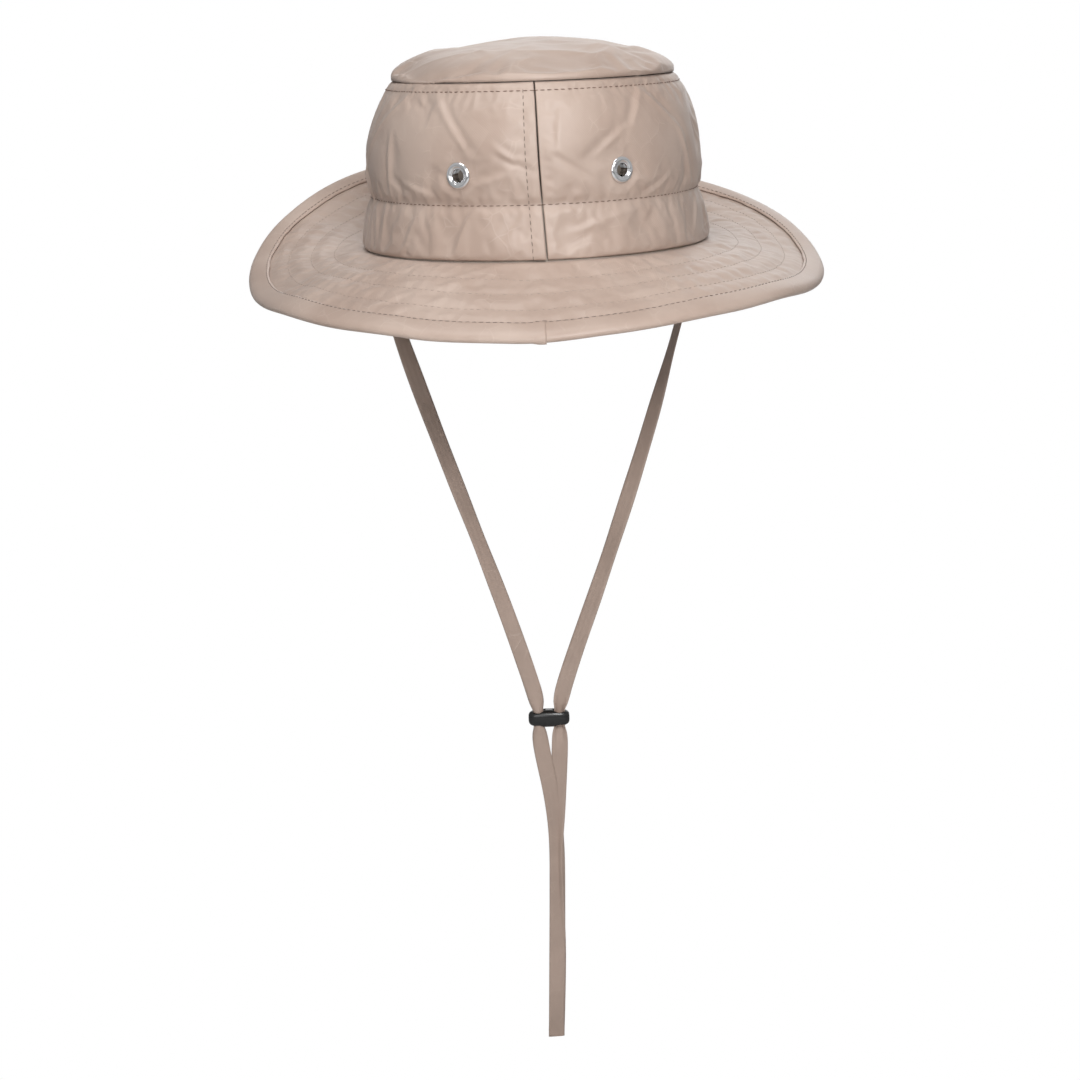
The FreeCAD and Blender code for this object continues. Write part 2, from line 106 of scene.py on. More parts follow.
class HatSizes(bpy.types.PropertyGroup):
    """Sizes that shape the hat's cloth."""
    base_half: length_property("Base half width", "Half the crown's width at the brim seam",
                               SIDE_HIGH.x)
    lengthening: length_property("Lengthening", "How much longer than wide the half oval is",
                                 SIDE_HIGH.y - SIDE_HIGH.x)
    cuff_half: length_property("Cuff half width", "Half width at the middle of the band", 0.0848)
    band_half: length_property("Band half width", "Half width at the band's stitch row", 0.0826)
    belly_half: length_property("Belly half width", "Half width at the eyelets", 0.0822)
    bulge_half: length_property("Bulge half width", "Half width above the eyelets", 0.0811)
    shoulder_half: length_property("Shoulder half width", "Half width under the top seam", 0.0770)
    seam_half: length_property("Seam half width", "Half width at the top seam", TOP_HIGH.x)
    cuff_height: length_property("Cuff height", "Height of the band's middle", 0.013)
    band_height: length_property("Band height", "Height of the band's stitch row", 0.026)
    belly_height: length_property("Belly height", "Height of the eyelets", 0.040)
    bulge_height: length_property("Bulge height", "Height of the widest cloth", 0.054)
    shoulder_height: length_property("Shoulder height", "Where the wall turns in", 0.069)
    seam_height: length_property("Seam height", "Height of the top seam", TOP_LOW.z)
    dome_rise: length_property("Dome rise", "Rise of the top panel", TOP_HIGH.z - TOP_LOW.z)
    lean: length_property("Lean", "How far the soft top leans to +X", 0.0009)
    seam_turn: FloatProperty(name="Seam turn", description="Turn of the lapped seam at its foot",
                             default=math.radians(2.8), unit="ROTATION")
    cloth: length_property("Cloth", "Thickness of a sewn cloth panel", 0.0008)
    brim_width: length_property("Brim width", "From crown seam to rim along the cloth", 0.058)
    brim_stack: length_property("Brim stack", "Thickness of the three brim layers", 0.0023)
    rim_right: length_property("Rim right", "Height of the rim at +X", -0.0152)
    rim_back_right: length_property("Rim back right", "Height of the rim", 0.0142)
    rim_back: length_property("Rim back", "Height of the rim at +Y", 0.030)
    rim_back_left: length_property("Rim back left", "Height of the rim", 0.0272)
    rim_left: length_property("Rim left", "Height of the rim at -X", -0.011)
    rim_front_left: length_property("Rim front left", "Height of the rim", -0.0218)
    rim_front: length_property("Rim front", "Height of the rim at -Y", -0.028)
    rim_front_right: length_property("Rim front right", "Height of the rim", -0.0195)
    binding_width: length_property("Binding width", "Width of the folded tape on the rim", 0.009)
    strap_width: length_property("Strap width", "Width of the chin strap tape", 0.0085)
    strap_thickness: length_property("Strap thickness", "Thickness of the tape", 0.0010)
    stitch_pitch: length_property("Stitch pitch", "Distance from stitch to stitch", 0.0032)
    stitch_length: length_property("Stitch length", "Visible length of a stitch", 0.0023)
    thread_radius: length_property("Thread radius", "Radius of the sewing thread", 0.00024)


class HatColours(bpy.types.PropertyGroup):
    """Colours of the hat's materials."""
    shell: colour_property("Shell", "Crinkled nylon", (0.535, 0.418, 0.352))
    # Ridge: the lighter tone of the crease ridges, partly real wear and partly a painted highlight on their
    # crests.
    ridge: colour_property("Ridge", "Crease ridges of the nylon, worn and with a painted highlight", (0.66, 0.55, 0.48))
    shade: colour_property("Shade", "Deeper tone of the nylon", (0.45, 0.335, 0.275))
    tape: colour_property("Tape", "Chin strap tape", (0.43, 0.325, 0.270))
    lining: colour_property("Lining", "Lining inside the crown", (0.20, 0.155, 0.13))
    band: colour_property("Band", "Sweatband cotton", (0.25, 0.195, 0.16))
    # Thread: its dark tone is partly the thread's own colour and partly painted shade of the sunken stitches.
    thread: colour_property("Thread", "Sewing thread", (0.21, 0.135, 0.105))
    metal: colour_property("Metal", "Polished eyelets", (0.86, 0.86, 0.87))
    plastic: colour_property("Plastic", "Toggle", (0.006, 0.006, 0.007))
    label: colour_property("Label", "Blank care label", (0.78, 0.76, 0.72))
    felt: colour_property("Interlining", "Non-woven stiffener", (0.62, 0.60, 0.56))
    floor: colour_property("Floor", "Studio floor", (0.66, 0.66, 0.66))


# ------------------------------------------------------------------ shapes
def sizes():
    """The scene's hat sizes."""
    return bpy.context.scene.hat_sizes


def ease(value):
    """Smooth step from 0 to 1."""
    value = np.clip(value, 0, 1)
    return value * value * (3 - 2 * value)


def through(stations, value):
    """A smooth curve through (position, height) stations."""
    xs = np.array([station[0] for station in stations])
    ys = np.array([station[1] for station in stations])
    slopes = np.gradient(ys, xs)
    value = np.clip(value, xs[0], xs[-1])
    index = np.clip(np.searchsorted(xs, value) - 1, 0, len(xs) - 2)
    span = xs[index + 1] - xs[index]
    t = (value - xs[index]) / span
    return ((2 * t ** 3 - 3 * t ** 2 + 1) * ys[index] + (t ** 3 - 2 * t ** 2 + t) * span * slopes[index]
            + (3 * t ** 2 - 2 * t ** 3) * ys[index + 1] + (t ** 3 - t ** 2) * span * slopes[index + 1])


def wall_half(height):
    """Half width of the crown at a height."""
    s = sizes()
    stations = [(0, s.base_half), (s.cuff_height, s.cuff_half), (s.band_height, s.band_half),
                (s.belly_height, s.belly_half), (s.bulge_height, s.bulge_half),
                (s.shoulder_height, s.shoulder_half), (s.seam_height, s.seam_half)]
    return through(stations, height)


def lean_at(height):
    """Sideways lean of the soft crown at a height."""
    s = sizes()
    return s.lean * ease((height - s.belly_height) / (s.seam_height - s.belly_height))


def turn_at(height):
    """Turn of the sewn seams, which runs out towards the top."""
    s = sizes()
    return s.seam_turn * (1 - np.clip(height / s.seam_height, 0, 1))


def oval_point(angle, half, height, lean=0.0):
    """Points on a horizontal oval of that half width."""
    length = half + sizes().lengthening
    return np.stack([half * np.cos(angle) + lean, length * np.sin(angle),
                     height + 0 * angle], axis=-1)


def wall_point(angle, height, inset=0.0):
    """Points on the crown wall, angle measured from the lapped seam."""
    around = angle - math.pi / 2 + turn_at(height)
    return oval_point(around, wall_half(height) - inset, height, lean_at(height))


def rim_height(angle):
    """Height of the rim: the periodic curve through the eight named heights."""
    s = sizes()
    heights = [s.rim_right, s.rim_back_right, s.rim_back, s.rim_back_left,
               s.rim_left, s.rim_front_left, s.rim_front, s.rim_front_right]
    count = len(heights)
    total = sum(heights) / count
    for order in range(1, count // 2 + 1):
        share = 1 if order == count // 2 else 2
        for index, height in enumerate(heights):
            total = total + share * height * np.cos(order * (angle - index * 2 * math.pi / count)) / count
    return total


def brim_point(angle, across, lift):
    """Points of the brim: across is measured outwards from the crown seam along the cloth."""
    s = sizes()
    half, length = s.base_half, s.base_half + s.lengthening
    normal = np.stack([np.cos(angle) / half, np.sin(angle) / length, 0 * angle], axis=-1)
    normal = normal / np.linalg.norm(normal, axis=-1, keepdims=True)
    drop = rim_height(angle)
    reach = np.sqrt(s.brim_width ** 2 - drop ** 2)
    share = np.clip(across, 0, None) / s.brim_width
    out = np.where(across > 0, share * reach, across)
    belly = 0.0016 * np.sin(np.clip(share, 0, 1) * math.pi)
    point = np.stack([half * np.cos(angle), length * np.sin(angle), share * drop + belly + lift], axis=-1)
    return point + normal * np.expand_dims(out, -1)


def noise_at(points, scale, seed):
    """Smooth noise between -1 and 1 at each point."""
    shift = Vector((seed * 7.3, seed * 3.1, seed * 5.7))
    flat = points.reshape(-1, 3)
    values = [noise.noise(Vector(point) * scale + shift) for point in flat]
    return np.array(values).reshape(points.shape[:-1])


# ------------------------------------------------------------------ meshes
def grid_object(name, points, wrap=False, uv=None, skip=None):
    """A quad sheet from a grid of points, rows by columns, optionally joined round its columns."""
    rows, columns = points.shape[:2]
    mesh = bpy.data.meshes.new(name)
    faces = []
    spots = []
    last = columns if wrap else columns - 1
    for row in range(rows - 1):
        for column in range(last):
            following = (column + 1) % columns
            corners = (row * columns + column, row * columns + following,
                       (row + 1) * columns + following, (row + 1) * columns + column)
            if skip is not None and any(skip[corner] for corner in corners):
                continue
            faces.append(corners)
            spots.append(((row, column), (row, column + 1), (row + 1, column + 1), (row + 1, column)))
    mesh.from_pydata([tuple(point) for point in points.reshape(-1, 3)], [], faces)
    layer = mesh.uv_layers.new(name="Cloth")
    if uv is not None:
        flat = [uv[row, column] for face in spots for row, column in face]
        layer.data.foreach_set("uv", np.array(flat, dtype=np.float32).ravel())
    obj = bpy.data.objects.new(name, mesh)
    bpy.context.collection.objects.link(obj)
    mesh.polygons.foreach_set("use_smooth", [True] * len(mesh.polygons))
    mesh.update()
    return obj


def cloth_uv(points, wrap):
    """Flat lengths along the rows and columns, in metres, with one more column where wrapped."""
    around = np.concatenate([points, points[:, :1]], axis=1) if wrap else points
    middle = around[around.shape[0] // 2]
    along = np.concatenate([[0], np.cumsum(np.linalg.norm(np.diff(middle, axis=0), axis=1))])
    side = around[:, 0]
    up = np.concatenate([[0], np.cumsum(np.linalg.norm(np.diff(side, axis=0), axis=1))])
    return np.stack(np.broadcast_arrays(along[None, :], up[:, None]), axis=-1)


def coordinates(obj):
    """The vertices of a mesh object as an array."""
    values = np.empty(len(obj.data.vertices) * 3)
    obj.data.vertices.foreach_get("co", values)
    return values.reshape(-1, 3)


def move_to(obj, points):
    """Set the vertices of a mesh object."""
    obj.data.vertices.foreach_set("co", points.ravel())
    obj.data.update()


def close_solid(obj, placement):
    """Merge the doubled points of a solid, face it outwards and put it in its place."""
    shape = bmesh.new()
    shape.from_mesh(obj.data)
    bmesh.ops.remove_doubles(shape, verts=shape.verts, dist=1e-6)
    bmesh.ops.recalc_face_normals(shape, faces=shape.faces)
    shape.transform(placement)
    shape.to_mesh(obj.data)
    shape.free()


def turn_over(obj):
    """Make every face of a sheet look the other way."""
    shape = bmesh.new()
    shape.from_mesh(obj.data)
    bmesh.ops.reverse_faces(shape, faces=shape.faces)
    shape.to_mesh(obj.data)
    shape.free()


DRAPE_FRAMES = 16


def drape(obj, pinned, growth, pressure, cap, bending, outward=None, stop=0.0005):
    """Let oversized cloth settle between its sewn rows, capped, and stopped by the layer inside it."""
    rest = coordinates(obj)
    group = obj.vertex_groups.new(name="Sewn")
    group.add([int(index) for index in np.nonzero(pinned)[0]], 1.0, "REPLACE")
    modifier = obj.modifiers.new("Settle", "CLOTH")
    cloth = modifier.settings
    cloth.vertex_group_mass = group.name
    cloth.quality = 5
    cloth.mass = 0.15
    cloth.tension_stiffness = 25
    cloth.compression_stiffness = 25
    cloth.shear_stiffness = 12
    cloth.bending_stiffness = bending
    cloth.tension_damping = 8
    cloth.compression_damping = 8
    cloth.shear_damping = 6
    cloth.air_damping = 3
    cloth.shrink_min = -growth
    cloth.use_pressure = True
    cloth.uniform_pressure_force = pressure
    cloth.effector_weights.gravity = 0
    modifier.point_cache.frame_start = 1
    modifier.point_cache.frame_end = DRAPE_FRAMES + 1
    scene = bpy.context.scene
    for step in range(1, DRAPE_FRAMES + 1):
        scene.frame_set(step)
    graph = bpy.context.evaluated_depsgraph_get()
    settled = coordinates(obj.evaluated_get(graph))
    obj.modifiers.remove(modifier)
    obj.vertex_groups.remove(group)
    scene.frame_set(1)
    shift = settled - rest
    distance = np.linalg.norm(shift, axis=1, keepdims=True)
    keep = cap * np.tanh(distance / cap) / np.maximum(distance, 1e-9)
    shift = shift * keep
    if outward is not None:
        sunk = np.minimum((shift * outward).sum(axis=1) + stop, 0)
        shift = shift - outward * sunk[:, None]
    move_to(obj, rest + shift)


def thicken(obj, thickness, levels=1, offset=-1):
    """Smooth subdivision and a cloth thickness, inwards unless the offset says otherwise."""
    if levels:
        rounding = obj.modifiers.new("Rounding", "SUBSURF")
        rounding.levels = levels
        rounding.render_levels = levels
        rounding.boundary_smooth = "PRESERVE_CORNERS"
    wall = obj.modifiers.new("Cloth", "SOLIDIFY")
    wall.thickness = thickness
    wall.offset = offset


def settle_piece(obj, body, finish, slot_name, *nodes):
    """Give a finished piece its material and body, and hide the CAD nodes that it stands for; its slot name
    is not used.
    """
    obj.data.materials.clear()
    obj.data.materials.append(MATERIALS[finish]())
    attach(obj, body)
    if nodes:
        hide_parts(*nodes)
    return obj


def lathe(name, outline, placement, steps):
    """A turned solid from a closed outline of (radius, height) corners."""
    angles = np.linspace(0, 2 * math.pi, steps, endpoint=False)
    ring = np.array(outline + outline[:1])
    points = np.stack([ring[:, 0, None] * np.cos(angles), ring[:, 0, None] * np.sin(angles),
                       np.broadcast_to(ring[:, 1, None], (len(ring), steps))], axis=-1)
    obj = grid_object(name, points, wrap=True)
    close_solid(obj, placement)
    return obj


# ------------------------------------------------------------------ shader groups
class Tree:
    """Short calls for building a node tree."""

    def __init__(self, tree):
        self.tree = tree

    def feed(self, socket, value):
        """Link a socket to another one, or give it a plain value."""
        if isinstance(value, bpy.types.NodeSocket):
            self.tree.links.new(value, socket)
        else:
            socket.default_value = value

    def add(self, kind, settings=None, **inputs):
        """A node with its settings and input values or links."""
        node = self.tree.nodes.new(kind)
        for key, value in (settings or {}).items():
            setattr(node, key, value)
        for key, value in inputs.items():
            name = key.replace("_", " ")
            numbered = name[0] == "i" and name[1:].isdigit()
            self.feed(node.inputs[int(name[1:]) if numbered else name], value)
        return node

    def maths(self, operation, first, second=0.0):
        """A math node's output."""
        return self.add("ShaderNodeMath", {"operation": operation}, i0=first, i1=second).outputs[0]

    def remap(self, value, low, high, to_low=0.0, to_high=1.0):
        """A clamped map range's output."""
        node = self.add("ShaderNodeMapRange", {"interpolation_type": "SMOOTHSTEP"}, Value=value,
                        From_Min=low, From_Max=high, To_Min=to_low, To_Max=to_high)
        return node.outputs[0]

    def mix(self, factor, first, second):
        """A colour mix's output."""
        node = self.add("ShaderNodeMix", {"data_type": "RGBA"})
        for number, value in ((0, factor), (6, first), (7, second)):
            plain = isinstance(value, (float, bpy.types.NodeSocket))
            self.feed(node.inputs[number], value if plain else (*value, 1.0))
        return node.outputs[2]


def blank_material(name):
    """A new material and its empty node tree."""
    material = bpy.data.materials.new(name)
    material.use_nodes = True
    material.node_tree.nodes.clear()
    return material, Tree(material.node_tree)


def shader_group(name, inputs, outputs):
    """A new shader group with float inputs, a vector first, and float outputs."""
    group = bpy.data.node_groups.new(name, "ShaderNodeTree")
    group.interface.new_socket("Vector", in_out="INPUT", socket_type="NodeSocketVector")
    for label, value in inputs:
        socket = group.interface.new_socket(label, in_out="INPUT", socket_type="NodeSocketFloat")
        socket.default_value = value
    for label in outputs:
        group.interface.new_socket(label, in_out="OUTPUT", socket_type="NodeSocketFloat")
    tree = Tree(group)
    return group, tree, tree.add("NodeGroupInput"), tree.add("NodeGroupOutput")


def crinkle_group():
    """Sharp crease ridges between soft facets, as a much handled nylon has."""
    if "Crinkle" in bpy.data.node_groups:
        return bpy.data.node_groups["Crinkle"]
    group, tree, enter, leave = shader_group(
        "Crinkle", [("Cell Size", 0.03), ("Line Width", 0.02), ("Wander", 0.2), ("Presence", 0.5)],
        ["Ridge", "Height", "Facet"])
    scale = tree.maths("DIVIDE", 1.0, enter.outputs["Cell Size"])
    wander = tree.add("ShaderNodeTexNoise", None, Vector=enter.outputs["Vector"], Scale=scale, Detail=2.0)
    shifted = tree.add("ShaderNodeVectorMath", {"operation": "SCALE"}, Vector=wander.outputs["Color"],
                       Scale=tree.maths("MULTIPLY", enter.outputs["Wander"], enter.outputs["Cell Size"]))
    place = tree.add("ShaderNodeVectorMath", {"operation": "ADD"}, i0=enter.outputs["Vector"],
                     i1=shifted.outputs[0])
    edge = tree.add("ShaderNodeTexVoronoi", {"feature": "DISTANCE_TO_EDGE"}, Vector=place.outputs[0],
                    Scale=scale)
    facet = tree.add("ShaderNodeTexVoronoi", {"feature": "F1"}, Vector=place.outputs[0], Scale=scale)
    there = tree.add("ShaderNodeTexNoise", None, Vector=enter.outputs["Vector"],
                     Scale=tree.maths("MULTIPLY", scale, 0.8), Detail=1.0)
    shown = tree.remap(tree.maths("ADD", there.outputs[0], enter.outputs["Presence"]), 0.92, 1.12)
    line = tree.maths("SUBTRACT", 1.0, tree.maths("MINIMUM", tree.maths(
        "DIVIDE", edge.outputs["Distance"], enter.outputs["Line Width"]), 1.0))
    ridge = tree.maths("MULTIPLY", tree.maths("POWER", line, 1.6), shown)
    slope = tree.maths("SUBTRACT", 1.0, tree.maths("MINIMUM", tree.maths(
        "MULTIPLY", edge.outputs["Distance"], 2.2), 1.0))
    height = tree.maths("ADD", tree.maths("MULTIPLY", ridge, 0.5),
                        tree.maths("MULTIPLY", tree.maths("MULTIPLY", slope, shown), 0.5))
    # Facet: a random value for each crease cell, used as painted shade of facets that turn differently to the
    # light.
    tone = tree.add("ShaderNodeSeparateColor", None, Color=facet.outputs["Color"])
    tree.tree.links.new(ridge, leave.inputs["Ridge"])
    tree.tree.links.new(height, leave.inputs["Height"])
    tree.tree.links.new(tone.outputs[0], leave.inputs["Facet"])
    return group


def weave_group():
    """A plain weave of crossing threads, from flat cloth coordinates."""
    if "Weave" in bpy.data.node_groups:
        return bpy.data.node_groups["Weave"]
    group, tree, enter, leave = shader_group("Weave", [("Thread Pitch", 0.0005)], ["Height"])
    scale = tree.maths("DIVIDE", math.pi, enter.outputs["Thread Pitch"])
    split = tree.add("ShaderNodeSeparateXYZ", None, Vector=enter.outputs["Vector"])
    warp = tree.maths("SINE", tree.maths("MULTIPLY", split.outputs[0], scale))
    weft = tree.maths("SINE", tree.maths("MULTIPLY", split.outputs[1], scale))
    product = tree.maths("MULTIPLY", warp, weft)
    tree.tree.links.new(tree.maths("ADD", tree.maths("MULTIPLY", product, 0.5), 0.5), leave.inputs["Height"])
    return group


# How the large and the small creases of a cloth are drawn.
CREASE_STYLES = ({"Line Width": 0.022, "Wander": 0.14, "Presence": 0.36},
                 {"Line Width": 0.05, "Wander": 0.3, "Presence": 0.45})


def cloth_material(name, base, ridge, shade, cells, bump, roughness, sheen, pitch, coat=0.0):
    """Cloth with crease ridges at two sizes, tone changes and a weave; the tone of each facet is painted
    shade, and the lighter ridges are partly wear and partly a painted highlight.
    """
    if name in bpy.data.materials:
        return bpy.data.materials[name]
    material, tree = blank_material(name)
    place = tree.add("ShaderNodeTexCoord")
    marks = []
    for cell, style in zip(cells, CREASE_STYLES):
        node = tree.add("ShaderNodeGroup", {"node_tree": crinkle_group()}, Vector=place.outputs["Object"])
        for label, value in {"Cell Size": cell, **style}.items():
            node.inputs[label].default_value = value
        marks.append(node)
    weave = tree.add("ShaderNodeGroup", {"node_tree": weave_group()}, Vector=place.outputs["UV"])
    weave.inputs["Thread Pitch"].default_value = pitch
    drift = tree.add("ShaderNodeTexNoise", None, Vector=place.outputs["Object"], Scale=22.0, Detail=4.0,
                     Roughness=0.6)
    fine = tree.add("ShaderNodeTexNoise", None, Vector=place.outputs["Object"], Scale=240.0, Detail=3.0)
    tone = tree.mix(tree.remap(drift.outputs[0], 0.35, 0.68), shade, base)
    # Each facet's tone shifts at random towards the base colour: painted shade standing in for facets turned
    # differently to the light.
    painted_facet_shade = tree.maths("MULTIPLY", marks[0].outputs["Facet"], 0.35)
    tone = tree.mix(painted_facet_shade, tone, base)
    # The ridges lighten towards the ridge colour: partly real wear, partly a painted highlight on the crests.
    ridge_wear_and_highlight = tree.maths("MAXIMUM", marks[0].outputs["Ridge"],
                         tree.maths("MULTIPLY", marks[1].outputs["Ridge"], 0.5))
    tone = tree.mix(tree.maths("MULTIPLY", ridge_wear_and_highlight, 0.5), tone, ridge)
    relief = tree.maths("ADD", marks[0].outputs["Height"],
                        tree.maths("MULTIPLY", marks[1].outputs["Height"], 0.45))
    relief = tree.maths("ADD", relief, tree.maths("MULTIPLY", fine.outputs[0], 0.16))
    coarse = tree.add("ShaderNodeBump", None, Height=relief, Distance=bump, Strength=0.75)
    threads = tree.add("ShaderNodeBump", None, Height=weave.outputs["Height"], Distance=pitch * 0.12,
                       Strength=0.5, Normal=coarse.outputs[0])
    gloss = tree.remap(drift.outputs[0], 0.3, 0.7, roughness - 0.05, roughness + 0.07)
    shader = tree.add("ShaderNodeBsdfPrincipled", None, Base_Color=tone, Roughness=gloss,
                      Normal=threads.outputs[0])
    shader.inputs["Sheen Weight"].default_value = sheen
    shader.inputs["Sheen Roughness"].default_value = 0.4
    shader.inputs["Specular IOR Level"].default_value = 0.42
    shader.inputs["Coat Weight"].default_value = coat
    shader.inputs["Coat Roughness"].default_value = 0.45
    tree.add("ShaderNodeOutputMaterial", None, Surface=shader.outputs[0])
    return material


def plain_material(name, base, roughness, metallic=0.0, speck=0.04, scale=400.0, bump=0.00003, coat=0.0):
    """A hard or thread finish with slight tone and roughness changes."""
    if name in bpy.data.materials:
        return bpy.data.materials[name]
    material, tree = blank_material(name)
    place = tree.add("ShaderNodeTexCoord")
    grain = tree.add("ShaderNodeTexNoise", None, Vector=place.outputs["Object"], Scale=scale, Detail=3.0)
    darker = tuple(channel * (1 - 4 * speck) for channel in base)
    tone = tree.mix(tree.remap(grain.outputs[0], 0.3, 0.7), darker, base)
    gloss = tree.remap(grain.outputs[0], 0.3, 0.7, max(roughness - speck, 0.02), roughness + speck)
    relief = tree.add("ShaderNodeBump", None, Height=grain.outputs[0], Distance=bump, Strength=0.5)
    shader = tree.add("ShaderNodeBsdfPrincipled", None, Base_Color=tone, Roughness=gloss,
                      Normal=relief.outputs[0])
    shader.inputs["Metallic"].default_value = metallic
    shader.inputs["Coat Weight"].default_value = coat
    shader.inputs["Coat Roughness"].default_value = 0.06
    tree.add("ShaderNodeOutputMaterial", None, Surface=shader.outputs[0])
    return material


def colours():
    """The scene's hat colours."""
    return bpy.context.scene.hat_colours


# The second colour given to each cloth is its lighter ridge tone: partly wear and partly a painted highlight
# on the crease crests.
MATERIALS = {
    "crinkled nylon": lambda: cloth_material(
        "crinkled_nylon", colours().shell, colours().ridge, colours().shade,
        (0.052, 0.010), 0.0003, 0.42, 0.15, 0.0006, 0.06),
    "strap tape": lambda: cloth_material(
        "strap_tape", colours().tape, colours().shell, tuple(c * 0.86 for c in colours().tape),
        (0.020, 0.006), 0.0003, 0.46, 0.25, 0.0006, 0.08),
    "lining": lambda: cloth_material(
        "lining_cloth", colours().lining, tuple(c * 1.2 for c in colours().lining),
        tuple(c * 0.8 for c in colours().lining), (0.040, 0.012), 0.0005, 0.62, 0.1, 0.0008),
    "sweatband": lambda: cloth_material(
        "sweatband_cotton", colours().band, tuple(c * 1.15 for c in colours().band),
        tuple(c * 0.85 for c in colours().band), (0.020, 0.006), 0.0002, 0.8, 0.2, 0.0012),
    "interlining": lambda: plain_material("interlining_felt", colours().felt, 0.9, bump=0.0002),
    "label": lambda: plain_material("label_satin", colours().label, 0.45, bump=0.00005),
    # Sewing thread: its dark tone is partly the thread's colour and partly painted shade of the sunken
    # stitches.
    "thread": lambda: plain_material("sewing_thread_with_painted_shade", colours().thread, 0.6, scale=1500.0),
    "pale thread": lambda: plain_material("brim_thread", tuple(c * 0.8 for c in colours().shell), 0.6,
                                          scale=1500.0),
    # Half the shell's tone: partly the thread's own colour and partly a painted shadow along the lapped seam
    # and the binding's folded edge.
    "rim thread with painted shadow": lambda: plain_material("rim_thread_with_painted_shadow", tuple(c * 0.5 for c in colours().shell), 0.6,
                                         scale=1500.0),
    "metal": lambda: plain_material("eyelet_metal", colours().metal, 0.13, 1.0, 0.03, 260.0, 0.00001),
    "plastic": lambda: plain_material("toggle_plastic", colours().plastic, 0.16, 0.0, 0.03, 500.0,
                                      0.00002, 0.6),
}


# ------------------------------------------------------------------ geometry nodes
def stitch_tree():
    """Stitches laid along a curve: thread capsules, realized."""
    if "Stitching" in bpy.data.node_groups:
        return bpy.data.node_groups["Stitching"]
    group = bpy.data.node_groups.new("Stitching", "GeometryNodeTree")
    face = group.interface
    face.new_socket("Geometry", in_out="INPUT", socket_type="NodeSocketGeometry")
    for label in ("Pitch", "Stitch Length", "Thread Radius", "Unevenness"):
        face.new_socket(label, in_out="INPUT", socket_type="NodeSocketFloat")
    face.new_socket("Seed", in_out="INPUT", socket_type="NodeSocketInt")
    face.new_socket("Thread", in_out="INPUT", socket_type="NodeSocketMaterial")
    face.new_socket("Geometry", in_out="OUTPUT", socket_type="NodeSocketGeometry")
    tree = Tree(group)
    enter = tree.add("NodeGroupInput")
    leave = tree.add("NodeGroupOutput")
    spaced = tree.add("GeometryNodeResampleCurve", {"mode": "LENGTH"}, Curve=enter.outputs["Geometry"],
                      Length=enter.outputs["Pitch"])
    capsule = tree.add("GeometryNodeMeshUVSphere", None, Segments=8, Rings=5, Radius=1.0)
    tangent = tree.add("GeometryNodeInputTangent")
    wobble = tree.add("FunctionNodeRandomValue", {"data_type": "FLOAT_VECTOR"}, Seed=enter.outputs["Seed"])
    wobble.inputs[0].default_value = (-1, -1, -1)
    wobble.inputs[1].default_value = (1, 1, 1)
    uneven = tree.add("ShaderNodeVectorMath", {"operation": "SCALE"}, Vector=wobble.outputs[0],
                      Scale=enter.outputs["Unevenness"])
    heading = tree.add("ShaderNodeVectorMath", {"operation": "ADD"}, i0=tangent.outputs[0],
                       i1=uneven.outputs[0])
    aim = tree.add("FunctionNodeAlignRotationToVector", {"axis": "X"}, Vector=heading.outputs[0])
    half = tree.maths("MULTIPLY", enter.outputs["Stitch Length"], 0.5)
    stretch = tree.add("ShaderNodeCombineXYZ", None, X=half, Y=enter.outputs["Thread Radius"],
                       Z=enter.outputs["Thread Radius"])
    placed = tree.add("GeometryNodeInstanceOnPoints", None, Points=spaced.outputs[0],
                      Instance=capsule.outputs[0], Rotation=aim.outputs[0], Scale=stretch.outputs[0])
    real = tree.add("GeometryNodeRealizeInstances", None, Geometry=placed.outputs[0])
    smooth = tree.add("GeometryNodeSetShadeSmooth", None, Geometry=real.outputs[0])
    painted = tree.add("GeometryNodeSetMaterial", None, Geometry=smooth.outputs[0],
                       Material=enter.outputs["Thread"])
    group.links.new(painted.outputs[0], leave.inputs[0])
    return group


def polyline_curve(name, lines):
    """A curve object with one open polyline for each list of points."""
    data = bpy.data.curves.new(name, "CURVE")
    data.dimensions = "3D"
    for points in lines:
        spline = data.splines.new("POLY")
        spline.points.add(len(points) - 1)
        flat = np.concatenate([np.asarray(points), np.ones((len(points), 1))], axis=1)
        spline.points.foreach_set("co", flat.ravel())
    obj = bpy.data.objects.new(name, data)
    bpy.context.collection.objects.link(obj)
    return obj


def sew(name, lines, body, seed, uneven=0.12, finish="thread"):
    """Rows of stitches along the lines, as one plain mesh that rides on a body."""
    s = sizes()
    path = polyline_curve(f"{name}_path", lines)
    modifier = path.modifiers.new("Stitching", "NODES")
    modifier.node_group = stitch_tree()
    values = {"Pitch": s.stitch_pitch, "Stitch Length": s.stitch_length,
              "Thread Radius": s.thread_radius, "Unevenness": uneven, "Seed": seed,
              "Thread": MATERIALS[finish]()}
    for item in modifier.node_group.interface.items_tree:
        if item.in_out == "INPUT" and item.name in values:
            modifier[item.identifier] = values[item.name]
    graph = bpy.context.evaluated_depsgraph_get()
    mesh = bpy.data.meshes.new_from_object(path.evaluated_get(graph), depsgraph=graph)
    mesh.name = name
    obj = bpy.data.objects.new(name, mesh)
    bpy.context.collection.objects.link(obj)
    bpy.data.objects.remove(path)
    return settle_piece(obj, body, finish, "tape_cloth")


